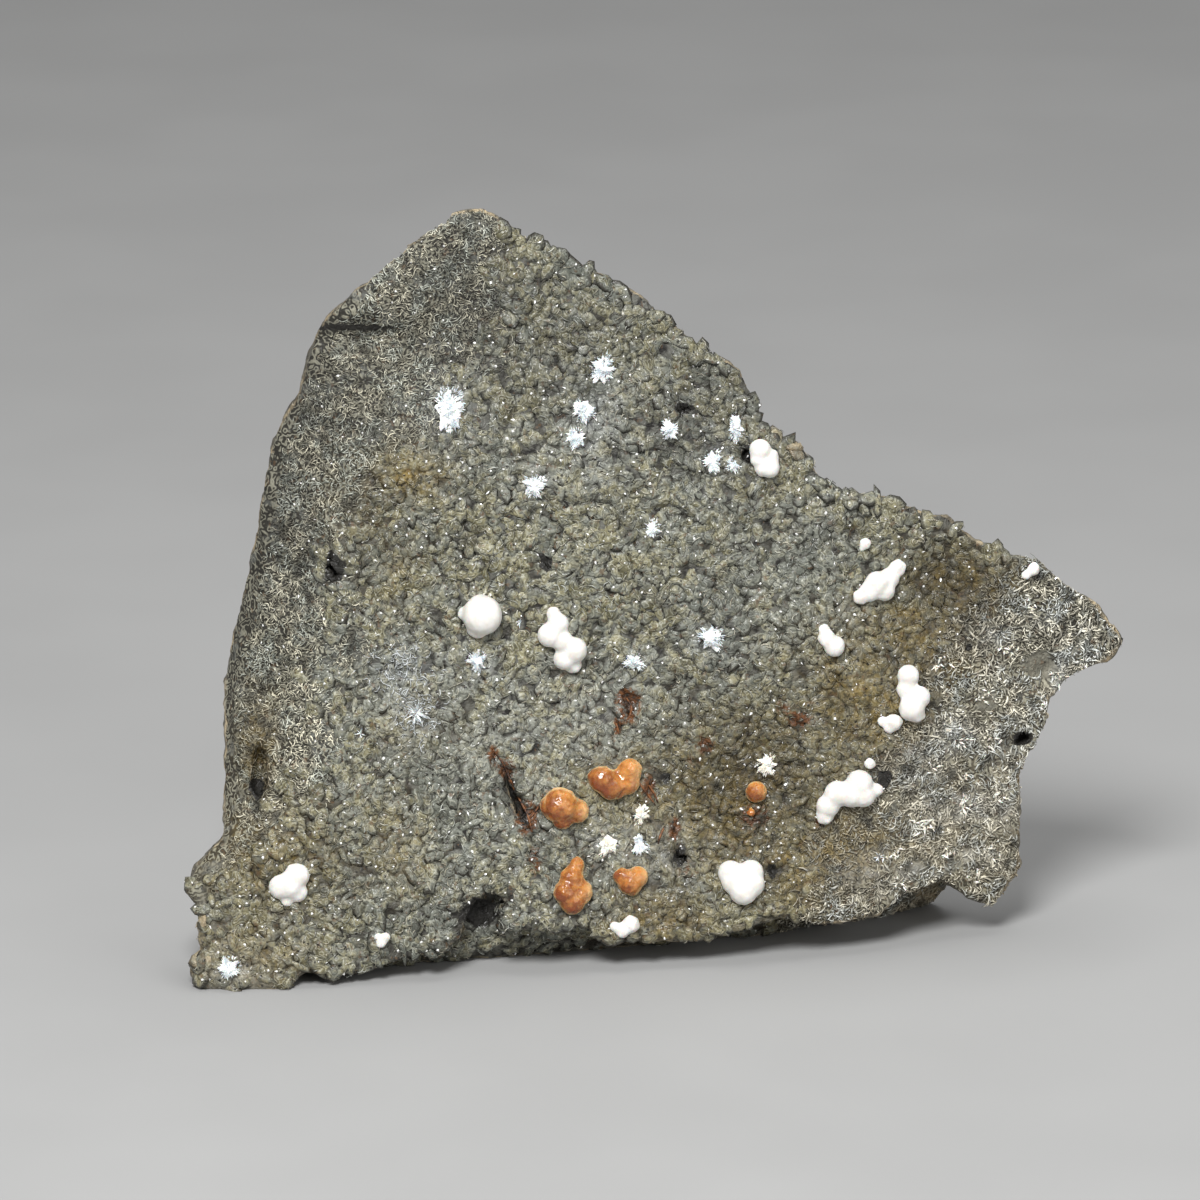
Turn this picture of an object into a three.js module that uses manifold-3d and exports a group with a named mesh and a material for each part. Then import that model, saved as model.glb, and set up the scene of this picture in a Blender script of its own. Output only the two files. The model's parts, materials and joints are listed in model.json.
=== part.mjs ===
// A cabinet specimen of gonnardite: white balls, rust-coloured balls and white sprays
// that grew on the knobbly face of a slab of grey-green rock.
// Millimetres, +X right, +Y back, +Z up. The slab stands on its lower edge and faces -Y.
import * as THREE from "three";
import { ConvexGeometry } from "three/addons/geometries/ConvexGeometry.js";
import { mergeVertices } from "three/addons/utils/BufferGeometryUtils.js";
import Module from "manifold-3d";

const wasm = await Module();
wasm.setup();

// Driving dimensions of the slab
const SIGHT = THREE.MathUtils.degToRad(18); // the face is drawn as seen from this far above the horizon
const TURN = 0.12; // how much deeper the face lies for each millimetre to the right
const LEAN = 0.2; // how much deeper it lies for each millimetre up
const LEFT_EDGE = -50.3;
const BEHIND = 70; // a depth behind all of the rock
const BLOCK = { left: -53, right: 53, low: -4, high: 86 }; // a frame that is wider than the outline
const GROUND = 200; // the ground block is this wide and this deep
const GRID = 2.7; // spacing of the face's grid
const SEAT_GAP = 0.35; // what grew on the rock keeps this clearance to it
const UNDERGROUND = 1.5; // the rock is made this far below its resting plane, then cut flat

// The slab's outline, clockwise from the left foot: [right of the middle, above the foot].
const OUTLINE = [
  [-48.6, 0], [-49.3, 3.1], [-48.5, 4.2], [-48.8, 9], [-50.3, 10.9], [-49.4, 13.3],
  [-46.5, 16.7], [-46, 19.3], [-46.4, 24.3], [-46.5, 32.3], [-45.8, 36.8], [-43.5, 44.6],
  [-42.3, 52.6], [-40.9, 59.1], [-38.2, 63.6], [-36.3, 70], [-35.2, 71.9], [-32.3, 74.5],
  [-26.4, 79.4], [-23.2, 81.3], [-21.8, 82.9], [-18.4, 83], [-16.3, 81.6], [-11.2, 79.4],
  [-6.1, 76.7], [-1.8, 74.3], [0.9, 71.7], [3.5, 69.2], [8.7, 66.4], [10.7, 62.8],
  [10.9, 60.3], [14.8, 58.4], [18, 54.2], [20.1, 53.1], [24.4, 52.9], [28.7, 50.9],
  [30.9, 51], [34, 48.2], [38.3, 46.8], [41, 46.1], [43.3, 44], [47.2, 41.4],
  [50.1, 37.5], [48.3, 35.5], [43.7, 33.4], [42.1, 31.5], [42.1, 28.9], [41.5, 27.3], [39.9, 25],
  [38.8, 22.9], [39.2, 19.3], [38.6, 12.5], [36.5, 8.7], [33.1, 10.2], [30.8, 11.9],
  [25.5, 9.6], [23.9, 8.2], [17.4, 7], [13.7, 8.3], [12.1, 7.2], [4.6, 5.9],
  [-0.2, 5.6], [-5.9, 5.5], [-7.2, 7.1], [-16.8, 6.5], [-17.1, 8.8], [-15.7, 9.5],
  [-16.8, 10.6], [-18.9, 10.4], [-20.8, 7.5], [-21.1, 5.8], [-22.7, 4.6], [-27.5, 3.4],
  [-34.5, 1.6], [-37.1, 2.8], [-40.3, 0.4], [-43.5, -0.2],
];

// Where the fresh fractures at the left and right begin, as [height, place across].
const LEFT_RIDGE = [[8, -51], [13, -45], [20, -38], [46, -34], [71, -33], [84, -33]];
const RIGHT_RIDGE = [[0, 12], [10, 15.5], [17, 21.7], [25, 26], [33, 29], [39, 32.4], [47, 38], [84, 44]];
const LEFT_SLOPE = 0.62;
const LEFT_STRIP = { inset: 8.5, slope: 1.1 }; // the steeper strip along the left edge
const RIGHT_SLOPE = 0.26;

// Broad hollows of the face: [across, up, half width, half height, depth].
const HOLLOWS = [
  [6, 22, 20, 13, 2.2],
  [31, 43.5, 6.5, 6, 2.6],
  [-22, 40, 16, 18, 0.8],
  [42.2, 34.5, 2.6, 2.2, 1.6],
  [-13, 55, 16, 12, -0.9],
  [-30, 6, 10, 6, -0.7],
];

// Lumps all over the face: [height, width, layer of the noise].
const FACE_LUMPS = [[0.45, 5.5, 1], [0.32, 2.7, 2]];

// Holes and cracks cut into the face: [across, up, half width, half height, depth, turn in degrees].
const PITS = [
  [-34.5, 45.4, 0.8, 1.5, 3, -8],
  [-11.7, 45.9, 0.55, 0.45, 1.2, 20],
  [2.9, 62.3, 0.85, 0.5, 1.6, 0],
  [39.5, 26.8, 0.9, 0.95, 2.4, 30],
  [-42.6, 23.6, 1.15, 3, 2.6, 0],
  [9.6, 57.4, 0.8, 1.5, 1.8, -20],
  [-15.2, 20.6, 0.55, 4.2, 1.7, 22],
  [2.6, 14.4, 0.8, 1.1, 1.7, 10],
  [30.1, 48.3, 0.7, 0.6, 1.3, 0],
  [-20.3, 80, 0.35, 1.4, 1, -20],
  [-30.3, 71.1, 4.6, 0.45, 1.3, -6],
];

// The broken rock behind the face: two flat-sided lumps.
// Each has corners near the face as [across, up], corners at the back as [across, up, depth],
// and corners under the resting plane as [across, depth].
const REAR = [
  {
    behindFace: [
      [-42, 9], [-43, 20], [-41, 44], [-34, 66], [-24, 77], [-17, 79], [-7, 73], [3, 65.5], [8, 58],
      [18, 49.5], [31, 45.5], [36, 41], [37, 31], [35.5, 17], [30, 14], [10, 9.5], [-13, 9.5], [-29, 6],
    ],
    back: [
      [-28, 17, 27], [-35, 43, 23], [-24, 66, 26], [-12, 70, 27],
      [2, 57, 28.5], [18, 42, 28.5], [28, 28, 29],
    ],
    under: [
      [-39, 7], [-27, 12.5], [-10, 17.5], [10, 18.5], [24, 25], [29.5, 29], [-5, 31.5], [-31, 26], [-41, 14],
    ],
  },
  {
    behindFace: [[-14, 14], [-10, 34], [3, 44], [16, 36], [22, 20]],
    back: [[-19, 16, 28], [-12, 35, 28.5], [1, 47, 28.5], [15, 38, 31], [21, 21, 32], [5, 14, 33.5]],
    under: [[-16, 20], [22, 26], [21, 32], [7, 34.5], [-15, 31]],
  },
];
const REAR_INSET = 3; // corners near the face lie this far behind it

// Layers of the rim: [behind the face, share drawn in, roughness], drawn in towards the middle.
const RIM_LAYERS = [[-14, 0, 0], [0, 0, 0], [1.5, -0.006, 0.5], [3.2, 0.018, 0.9], [5.4, 0.06, 1.1]];
const RIM_MIDDLE = [-4, 34];
const RIM_UNEVEN = 0.5; // how unevenly deep the layers lie

// Balls grown together, each lobe as [across, up, radius].
const WHITE_BALLS = {
  upper_right: [[11, 58, 1.1], [12.2, 57.3, 0.8], [10.8, 57, 0.9], [12, 56.1, 1.05], [11.3, 56, 0.9]],
  left_of_middle: [[-18.7, 40.3, 2.05], [-20.5, 40.5, 0.85], [-19.2, 39.1, 1.2], [-18.9, 41.2, 1.3]],
  middle: [
    [-11.1, 40.5, 0.8], [-10.6, 39.4, 1.1], [-11.5, 38.2, 1.25], [-10.2, 37.6, 1.1], [-8.9, 36.6, 1.35],
    [-9.9, 35.7, 1.2], [-9, 35, 0.95],
  ],
  bead_top: [[22.3, 48, 0.65], [21.9, 47.4, 0.35]],
  right_top: [
    [25.8, 45.4, 1], [24.9, 44.3, 1.1], [23.6, 43.7, 1.3], [24.4, 43, 1.1],
    [22.8, 42.9, 1.1], [21.8, 42.3, 0.9], [26.3, 42.6, 0.75],
  ],
  right_small: [[17.9, 38.8, 0.65], [18.2, 37.8, 1], [19, 37, 1.1]],
  right_long: [
    [27, 33.8, 1.15], [26.8, 32.4, 1.1], [28.2, 31.5, 1.15], [27.4, 30.3, 1.35], [27.9, 29.7, 1],
  ],
  right_bean: [[24.2, 28.9, 0.6], [25.5, 28.8, 0.95], [25, 28.2, 0.65]],
  bead_right: [[22.9, 24.4, 0.7]],
  lower_right: [
    [21.8, 22.2, 1.4], [20.9, 21.1, 1.45], [22.2, 21, 1.3], [19.4, 21.1, 1.35],
    [18.4, 19.8, 1.2], [18.1, 18.7, 1], [23.7, 21.5, 0.7],
  ],
  bottom_heart: [
    [7.9, 12.6, 1.3], [10.1, 12.6, 1.35], [10.2, 11.4, 1.35], [9.3, 10.7, 1.5], [8.3, 11.6, 1.3],
  ],
  lower_left: [
    [-38.5, 12.5, 1.3], [-40.2, 11.3, 1.3], [-39.3, 11.5, 1.5], [-38.5, 10.8, 1.15], [-39.6, 9.8, 0.7],
    [-39, 13.2, 0.6],
  ],
  bottom_left_bead: [[-29.9, 5.9, 0.6], [-29.1, 5.9, 0.65], [-29.6, 5.3, 0.7]],
  bottom_edge: [[-2.8, 7.1, 1], [-3.7, 6.4, 0.8], [-4.6, 6.9, 0.6]],
  right_corner: [[40.5, 45.3, 0.75], [39.7, 44.7, 0.6], [39.2, 45.5, 0.6], [38.4, 45.8, 0.6]],
};
const RUSTY_BALLS = {
  left: [[-10.4, 19.9, 1.9], [-8.6, 19.3, 1.25], [-11.4, 19.8, 1.15], [-10.2, 18.5, 1.1]],
  heart: [
    [-3, 23.6, 1.35], [-3.2, 22.4, 1.3], [-5.9, 22.7, 1.4], [-5, 21.9, 1.35],
    [-6.7, 23, 0.85], [-4.3, 21.4, 0.9],
  ],
  pear: [[-8.7, 13.5, 1], [-9.2, 12.1, 1.25], [-9.8, 10.6, 1.3], [-8.3, 10.6, 1.35], [-9.1, 9.6, 1.35]],
  fan: [[-3.8, 12.2, 1], [-2.1, 12.2, 1.1], [-2.9, 11.6, 1.3], [-2.7, 10.8, 0.75]],
  bead: [[10.7, 21.3, 1.1]],
  sunken_bead: [[10.1, 19, 0.8]],
};
const LARGE_LOBE = 1.9; // lobes of more than this radius are drawn more finely
const SMALL_LOBE = 1.05; // and lobes of less than this radius more plainly
const LOBE_SPIN = 0.7; // each next lobe is turned further by these angles, so that facets don't line up
const LOBE_ROLL = 1.1;
// How far a lobe's middle stands off the face, in radii
const LIFT = { white: 0.42, rusty: 0.32, sunken_bead: 0.05 };

// White sprays: [across, up, half width, half height, turn in degrees].
const SPRAYS = {
  upper_left: [-22.2, 61.9, 2.1, 2.9, 25],
  top: [-6, 66.4, 1.4, 2.3, 10],
  top_lower: [-7.9, 62.2, 1.6, 1.5, 0],
  top_lowest: [-8.6, 59, 1.3, 1.3, 40],
  above_middle: [-13.2, 54, 1.5, 1.4, 15],
  upper_small: [1.3, 60, 1.2, 1.4, 30],
  edge_tall: [8.4, 60.5, 1, 1.7, -10],
  edge_low: [6, 56.7, 1.2, 1.5, 35],
  edge_small: [8.1, 56.3, 0.8, 0.8, 0],
  middle_right: [-0.5, 49.4, 1, 1.3, 0],
  snowflake: [5.7, 37.7, 1.5, 1.7, 20],
  below_middle: [-2.5, 35.3, 1.4, 1, -15],
  below_ball: [-19.2, 35.3, 1.3, 1.3, -30],
  left_foot: [-45.7, 2.6, 1.5, 1.4, -25],
  cream_right: [11.8, 24.2, 1.4, 1.2, 10],
  cream_small: [-1.8, 18.9, 1, 1.3, 0],
  cream_large: [-5.2, 15.6, 1.4, 1.5, 30],
  cream_blue: [-1.9, 15.5, 1.1, 1.3, 0],
};
const SPRAY = { points: 5, waist: 0.5, rise: 0.7, edge: 0.25 };
const SPRAY_TIP = { least: 0.8, varies: 0.2 }; // how far its tips reach, as a share of its half width
const SPRAY_WAIST_VARIES = { least: 0.8, varies: 0.4 };
const SPRAY_UNEVEN = 0.3; // how unevenly its tips are spaced

// Repeatable randomness

function hash(i, j, k) {
  let h = Math.imul(i, 374761393) ^ Math.imul(j, 668265263) ^ Math.imul(k, 2147483647);
  h = Math.imul(h ^ (h >>> 13), 1274126177);
  return ((h ^ (h >>> 16)) >>> 0) / 4294967296;
}

const fade = (t) => t * t * (3 - 2 * t);
const { lerp, smoothstep, clamp } = THREE.MathUtils;

// Smooth noise from -1 to 1, one lump for each unit.
function noise(x, y, z = 0) {
  const [i, j, k] = [Math.floor(x), Math.floor(y), Math.floor(z)];
  const [a, b, c] = [fade(x - i), fade(y - j), fade(z - k)];
  const row = (jj, kk) => lerp(hash(i, jj, kk), hash(i + 1, jj, kk), a);
  const layer = (kk) => lerp(row(j, kk), row(j + 1, kk), b);
  return 2 * lerp(layer(k), layer(k + 1), c) - 1;
}

// The face

// The point seen at (across, up) in the picture plane, at a given depth.
function stand(across, up, depth) {
  return new THREE.Vector3(across, depth, (up - depth * Math.sin(SIGHT)) / Math.cos(SIGHT));
}

// Straight-line interpolation in a list of [key, value] pairs.
function along(pairs, key) {
  const next = clamp(pairs.findIndex(([k]) => k >= key), 1, pairs.length - 1);
  const [[k0, v0], [k1, v1]] = [pairs[next - 1], pairs[next]];
  return lerp(v0, v1, clamp((key - k0) / (k1 - k0), 0, 1));
}

// The ledge at the top left, which overhangs the fracture below it.
function ledge(across, up) {
  const fadeOut = 1 - smoothstep(across, -30, -20);
  const above = smoothstep(up, 71.2, 72.4);
  const towardsEdge = Math.max(0, (up - 71.5) * 0.35 - (across + 35) * 0.28);
  return fadeOut * above * (towardsEdge - 1.9);
}

// Depth of the face at a place in the picture plane.
function face(across, up) {
  const pastLeft = Math.max(0, along(LEFT_RIDGE, up) - across);
  const pastStrip = Math.max(0, pastLeft - LEFT_STRIP.inset);
  const pastRight = Math.max(0, across - along(RIGHT_RIDGE, up));
  let depth = TURN * (across - LEFT_EDGE) + LEAN * Math.max(0, up);
  depth += LEFT_SLOPE * pastLeft + LEFT_STRIP.slope * pastStrip + RIGHT_SLOPE * pastRight;
  for (const [x, y, rx, ry, deep] of HOLLOWS) {
    depth += deep * Math.exp(-(((across - x) / rx) ** 2) - ((up - y) / ry) ** 2);
  }
  depth += ledge(across, up);
  for (const [height, width, layer] of FACE_LUMPS) {
    depth += height * noise(across / width, up / width, layer);
  }
  return depth;
}

// Solids from geometry and back

function solidOf(geometry) {
  const bare = geometry.clone();
  bare.deleteAttribute("normal");
  bare.deleteAttribute("uv");
  const merged = mergeVertices(bare, 1e-4);
  return new wasm.Manifold(
    new wasm.Mesh({
      numProp: 3,
      vertProperties: merged.getAttribute("position").array,
      triVerts: new Uint32Array(merged.index.array),
    }),
  );
}

function indexed(points, triangles) {
  const geometry = new THREE.BufferGeometry().setFromPoints(points);
  geometry.setIndex(triangles.flat());
  return geometry;
}

function geometryOf(solid) {
  const { vertProperties, triVerts } = solid.getMesh();
  const geometry = new THREE.BufferGeometry();
  geometry.setAttribute("position", new THREE.BufferAttribute(new Float32Array(vertProperties), 3));
  geometry.setIndex(new THREE.BufferAttribute(new Uint32Array(triVerts), 1));
  const faceted = geometry.toNonIndexed();
  faceted.computeVertexNormals();
  return faceted;
}

const largestOf = (solid) => solid.decompose().sort((a, b) => b.volume() - a.volume())[0];

// A closed skin through rings of points, each ring going clockwise as seen from the front.
function loft(rings, firstContour, lastContour) {
  const count = rings[0].length;
  const triangles = [];
  const cap = (contour, start, flip) => {
    const flat = contour.map(([x, y]) => new THREE.Vector2(x, y));
    for (const [a, b, c] of THREE.ShapeUtils.triangulateShape(flat, [])) {
      const [p, q, r] = [flat[a], flat[b], flat[c]];
      const facesFront = (q.x - p.x) * (r.y - p.y) - (q.y - p.y) * (r.x - p.x) > 0;
      const [second, third] = facesFront !== flip ? [b, c] : [c, b];
      triangles.push([start + a, start + second, start + third]);
    }
  };
  cap(firstContour, 0, false);
  rings.slice(1).forEach((_, k) => {
    for (let i = 0; i < count; i++) {
      const next = (i + 1) % count;
      const [a, b, c, d] = [k * count + i, k * count + next, (k + 1) * count + next, (k + 1) * count + i];
      triangles.push([a, b, c], [a, c, d]);
    }
  });
  cap(lastContour, (rings.length - 1) * count, true);
  return solidOf(indexed(rings.flat(), triangles));
}

// The slab of rock

// The face as the front of a thick block that is wider than the outline.
function faceBlock() {
  const { left, right, low, high } = BLOCK;
  const columns = Math.round((right - left) / GRID);
  const rows = Math.round((high - low) / GRID);
  const row = columns + 1;
  const points = [];
  for (let j = 0; j <= rows; j++) {
    for (let i = 0; i <= columns; i++) {
      const [x, y] = [lerp(left, right, i / columns), lerp(low, high, j / rows)];
      points.push(stand(x, y, face(x, y)));
    }
  }
  const triangles = [];
  for (let j = 0; j < rows; j++) {
    for (let i = 0; i < columns; i++) {
      const [a, b, c, d] = [j * row + i, j * row + i + 1, (j + 1) * row + i + 1, (j + 1) * row + i];
      const pair = (i + j) % 2 ? [[a, b, c], [a, c, d]] : [[a, b, d], [b, c, d]];
      triangles.push(...pair);
    }
  }
  const hub = points.push(stand((left + right) / 2, (low + high) / 2, BEHIND)) - 1;
  for (let i = 0; i < columns; i++) {
    triangles.push([hub, i + 1, i], [hub, rows * row + i, rows * row + i + 1]);
  }
  for (let j = 0; j < rows; j++) {
    triangles.push([hub, j * row, (j + 1) * row], [hub, (j + 1) * row + columns, j * row + columns]);
  }
  return solidOf(indexed(points, triangles));
}

// The broken rim: the outline carried back from the face, drawn in and roughened as it goes.
function rimLoft() {
  const middle = RIM_MIDDLE;
  const rings = RIM_LAYERS.map(([deeper, inset, rough], k) =>
    OUTLINE.map(([x, y], i) => {
      const shrink = 1 - inset - (rough / 40) * noise(i * 0.9, k * 1.7, 7);
      const [u, v] = [middle[0] + (x - middle[0]) * shrink, middle[1] + (y - middle[1]) * shrink];
      const uneven = k < 2 ? 0 : RIM_UNEVEN * noise(i * 0.7, k * 2.3, 8);
      return stand(u, v, face(x, y) + deeper + uneven);
    }),
  );
  return loft(rings, OUTLINE, OUTLINE);
}

// One flat-sided lump of the rock behind the face.
function rearLump({ behindFace, back, under }) {
  return solidOf(
    new ConvexGeometry([
      ...behindFace.map(([x, y]) => stand(x, y, face(x, y) + REAR_INSET)),
      ...back.map(([x, y, depth]) => stand(x, y, depth)),
      ...under.map(([x, depth]) => new THREE.Vector3(x, depth, -UNDERGROUND)),
    ]),
  );
}

// A blunt hole, wider than deep, whose mouth lies in the face.
function pit([x, y, halfWidth, halfHeight, deep, turn]) {
  const hole = new THREE.IcosahedronGeometry(1, halfHeight < 2 ? 0 : 1);
  hole.scale(halfWidth, deep, halfHeight);
  hole.rotateY(THREE.MathUtils.degToRad(-turn));
  hole.translate(...stand(x, y, face(x, y)).toArray());
  return solidOf(hole);
}

function slab() {
  const ground = new THREE.BoxGeometry(GROUND, GROUND, GROUND).translate(0, 0, -GROUND / 2);
  let rock = faceBlock().intersect(rimLoft());
  for (const lump of REAR) rock = rock.add(rearLump(lump));
  for (const hole of PITS) rock = rock.subtract(pit(hole));
  return largestOf(rock.subtract(solidOf(ground)));
}

// What grew on the rock

// Cuts a growth so that it sits on the rock with a clearance.
function seated(growth, rock) {
  const towardsViewer = [0, -SEAT_GAP * Math.cos(SIGHT), SEAT_GAP * Math.sin(SIGHT)];
  return largestOf(growth.subtract(rock.translate(towardsViewer)).subtract(rock));
}

// Small lobes have 20 faces, others 80 and the largest 180.
function lobeDetail(radius) {
  if (radius < SMALL_LOBE) return 0;
  return radius > LARGE_LOBE ? 2 : 1;
}

function ballCluster(lobes, lift) {
  const balls = lobes.map(([x, y, radius], i) => {
    const ball = new THREE.IcosahedronGeometry(radius, lobeDetail(radius));
    ball.rotateX(LOBE_SPIN * i + x).rotateZ(LOBE_ROLL * i + y);
    ball.translate(...stand(x, y, face(x, y) - lift * radius).toArray());
    return solidOf(ball);
  });
  return balls.reduce((joined, ball) => joined.add(ball));
}

// A low star of needles, thick in the middle, that follows the face.
function spray([x, y, halfWidth, halfHeight, turn], seed) {
  const count = 2 * SPRAY.points;
  const ring = [];
  for (let i = 0; i < count; i++) {
    const tip = SPRAY_TIP.least + SPRAY_TIP.varies * hash(i, seed, 3);
    const waist = SPRAY_WAIST_VARIES.least + SPRAY_WAIST_VARIES.varies * hash(i, seed, 4);
    const reach = i % 2 === 0 ? tip : SPRAY.waist * waist;
    const step = i + SPRAY_UNEVEN * hash(i, seed, 5);
    const angle = THREE.MathUtils.degToRad(turn) - (2 * Math.PI * step) / count;
    ring.push([x + halfWidth * reach * Math.cos(angle), y + halfHeight * reach * Math.sin(angle)]);
  }
  const proud = (u, v, height) => stand(u, v, face(u, v) - SEAT_GAP - height);
  const points = [
    ...ring.map(([u, v]) => proud(u, v, SPRAY.edge)),
    ...ring.map(([u, v]) => proud(u, v, 0)),
    proud(x, y, SPRAY.rise),
    proud(x, y, 0),
  ];
  const triangles = [];
  for (let i = 0; i < count; i++) {
    const next = (i + 1) % count;
    triangles.push([2 * count, next, i], [2 * count + 1, count + i, count + next]);
    triangles.push([i, next, count + next], [i, count + next, count + i]);
  }
  return solidOf(indexed(points, triangles));
}

// The specimen

const MATERIALS = {
  rock: new THREE.MeshStandardMaterial({ color: 0x7c786b, roughness: 0.85, metalness: 0 }),
  white: new THREE.MeshStandardMaterial({ color: 0xf1ede6, roughness: 0.5, metalness: 0 }),
  rusty: new THREE.MeshStandardMaterial({ color: 0xc4713a, roughness: 0.4, metalness: 0 }),
  spray: new THREE.MeshStandardMaterial({ color: 0xe9edf0, roughness: 0.6, metalness: 0 }),
};

const specimen = new THREE.Group();

function place(name, solid, material) {
  const geometry = geometryOf(solid);
  geometry.computeBoundingBox();
  const middle = geometry.boundingBox.getCenter(new THREE.Vector3());
  const mesh = new THREE.Mesh(geometry.translate(-middle.x, -middle.y, -middle.z), material);
  mesh.name = name;
  mesh.position.copy(middle);
  specimen.add(mesh);
}

const rock = slab();
place("rock_matrix", rock, MATERIALS.rock);
for (const [name, lobes] of Object.entries(WHITE_BALLS)) {
  place(`white_ball_${name}`, seated(ballCluster(lobes, LIFT.white), rock), MATERIALS.white);
}
for (const [name, lobes] of Object.entries(RUSTY_BALLS)) {
  place(`rusty_ball_${name}`, seated(ballCluster(lobes, LIFT[name] ?? LIFT.rusty), rock), MATERIALS.rusty);
}
Object.entries(SPRAYS).forEach(([name, star], seed) => {
  place(`white_spray_${name}`, seated(spray(star, seed), rock), MATERIALS.spray);
});

// The origin is under the middle of the whole specimen, on its resting plane.
const bounds = new THREE.Box3().setFromObject(specimen);
const centre = bounds.getCenter(new THREE.Vector3());
specimen.position.set(-centre.x, -centre.y, -bounds.min.z);

export default specimen;
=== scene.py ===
"""A gonnardite specimen: white and rust-coloured balls and white sprays on grey-green lava."""
import json
import math

import bpy
import numpy as np
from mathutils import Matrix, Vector, bvhtree, noise

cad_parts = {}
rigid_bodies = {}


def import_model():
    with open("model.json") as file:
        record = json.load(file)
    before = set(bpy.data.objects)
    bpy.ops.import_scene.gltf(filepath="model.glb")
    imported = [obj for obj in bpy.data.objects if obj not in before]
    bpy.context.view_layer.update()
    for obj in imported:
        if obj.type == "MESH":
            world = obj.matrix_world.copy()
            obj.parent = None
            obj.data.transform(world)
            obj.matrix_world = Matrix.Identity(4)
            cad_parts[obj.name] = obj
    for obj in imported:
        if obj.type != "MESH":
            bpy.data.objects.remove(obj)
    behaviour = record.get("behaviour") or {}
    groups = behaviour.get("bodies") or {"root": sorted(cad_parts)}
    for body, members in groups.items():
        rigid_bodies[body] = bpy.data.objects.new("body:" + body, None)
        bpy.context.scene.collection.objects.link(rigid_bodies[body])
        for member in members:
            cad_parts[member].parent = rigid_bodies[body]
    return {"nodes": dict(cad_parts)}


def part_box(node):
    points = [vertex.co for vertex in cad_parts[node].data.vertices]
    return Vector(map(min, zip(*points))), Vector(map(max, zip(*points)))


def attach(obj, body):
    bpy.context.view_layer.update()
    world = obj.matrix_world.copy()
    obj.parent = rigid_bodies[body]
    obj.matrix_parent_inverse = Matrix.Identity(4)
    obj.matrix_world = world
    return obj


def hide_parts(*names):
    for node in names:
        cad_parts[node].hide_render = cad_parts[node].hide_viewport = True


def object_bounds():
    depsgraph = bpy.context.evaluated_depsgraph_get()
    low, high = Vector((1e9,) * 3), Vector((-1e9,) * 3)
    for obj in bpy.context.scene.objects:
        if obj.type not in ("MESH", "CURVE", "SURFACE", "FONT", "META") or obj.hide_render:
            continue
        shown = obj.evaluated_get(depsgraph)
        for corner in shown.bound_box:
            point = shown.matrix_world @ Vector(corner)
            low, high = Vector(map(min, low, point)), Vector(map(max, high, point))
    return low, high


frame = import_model()
low_before, high_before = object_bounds()
scene = bpy.context.scene
rng = np.random.default_rng(7)
MM = 0.001


# The rock
#
# One broken slab of grey-green lava that stands on its own flat lower edge. Its front is the lining
# of a gas hole, the fractures at its left and right are fresher, and its back is plain broken rock.

ROCK_VOXEL = 0.35  # millimetres
ROCK_BEHIND = -0.3  # surfaces that face this far from the camera are meshed more coarsely
ROCK_TRIANGLES = 190000
ROCK_COARSENING = 10.0  # how much the meshing favours the surfaces behind

# The photograph's view. Places on the specimen's face are written as (across, up):
# millimetres in a plane that faces the camera, from the middle of the width and from the left foot.
SIGHT = math.radians(18)  # the camera looks down by this much
SIGHT_COS, SIGHT_SIN = math.cos(SIGHT), math.sin(SIGHT)
FOOT_DEPTH = 17.0  # the left foot's front is this far in front of the origin, in millimetres
TO_CAMERA = np.array([0.0, -SIGHT_COS, SIGHT_SIN])

# Where the felt of needles begins at the left and right, as [up, across].
FELT_LEFT = np.array([
    [8, -51], [13, -46], [20, -36], [46, -33.5], [56, -30], [60, -22], [71, -17], [82, -14],
])
FELT_RIGHT = np.array([
    [0, 10], [7.7, 13.6], [17.3, 18.5], [27, 25.9], [36.6, 30.2], [46.2, 36.6], [84, 60],
])

# Stained, dark, hazy, cream, frosted, slate-grey and bald places:
# (across, up, half width, half height, strength). The dark places are partly darker rock and partly
# painted shade, as in the notch under the lip and the hollows beside the right ridge.
OCHRE = [
    (8.3, 20, 12, 8, 1), (15, 14, 9, 6, 0.9), (22.7, 31.2, 8, 8, 1), (27.5, 37.7, 6, 5, 1),
    (32, 43.5, 6, 4, 1), (0.3, 7.7, 6, 3, 0.9), (20.5, 15, 6, 5, 0.9), (12, 27, 8, 4, 0.7),
    (-1, 20, 7, 5, 0.5), (31, 22, 4, 5, 0.3), (-41, 14, 8, 6, 0.6), (-44, 4, 7, 4, 0.55),
    (-28, 15.7, 3.5, 5, 0.5), (-26.5, 55.3, 4, 3, 0.9), (-31, 52, 4, 5, 0.4),
    (-42.8, 26, 2.0, 5, 1), (-28, 45, 3, 5, 0.35), (35, 14, 6, 6, 0.25), (-26, 28, 5, 3, 0.25),
]
RUST = [
    (-17.6, 25.2, 0.8, 1.2, 0.8), (-16.2, 23.8, 1.0, 1.2, 1), (-14.0, 18.6, 1.3, 2.0, 1),
    (-3.2, 31.4, 1.5, 1.2, 1), (-3.0, 30, 1.2, 1.4, 1), (-4.2, 28.3, 0.6, 1.2, 0.9),
    (-0.9, 21.6, 0.8, 1.6, 1), (1.9, 17.3, 0.7, 1.4, 1), (5.1, 26.4, 1.2, 1.4, 0.7),
    (15.2, 29.1, 1.6, 1.2, 0.8), (-13.2, 14, 0.8, 2, 0.7), (10.5, 18.7, 2.2, 1.6, 0.7),
    (13.5, 30.5, 1.2, 1.4, 0.5), (3.5, 24.5, 1, 1.2, 0.5), (-11.8, 20.9, 0.9, 0.7, 0.7),
    (-6.3, 26.6, 0.5, 0.8, 0.6), (-13.2, 23.8, 0.4, 0.5, 0.6), (3, 13, 1.2, 1.4, 0.5),
    (17.5, 18, 1.4, 1, 0.5),
]
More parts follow.
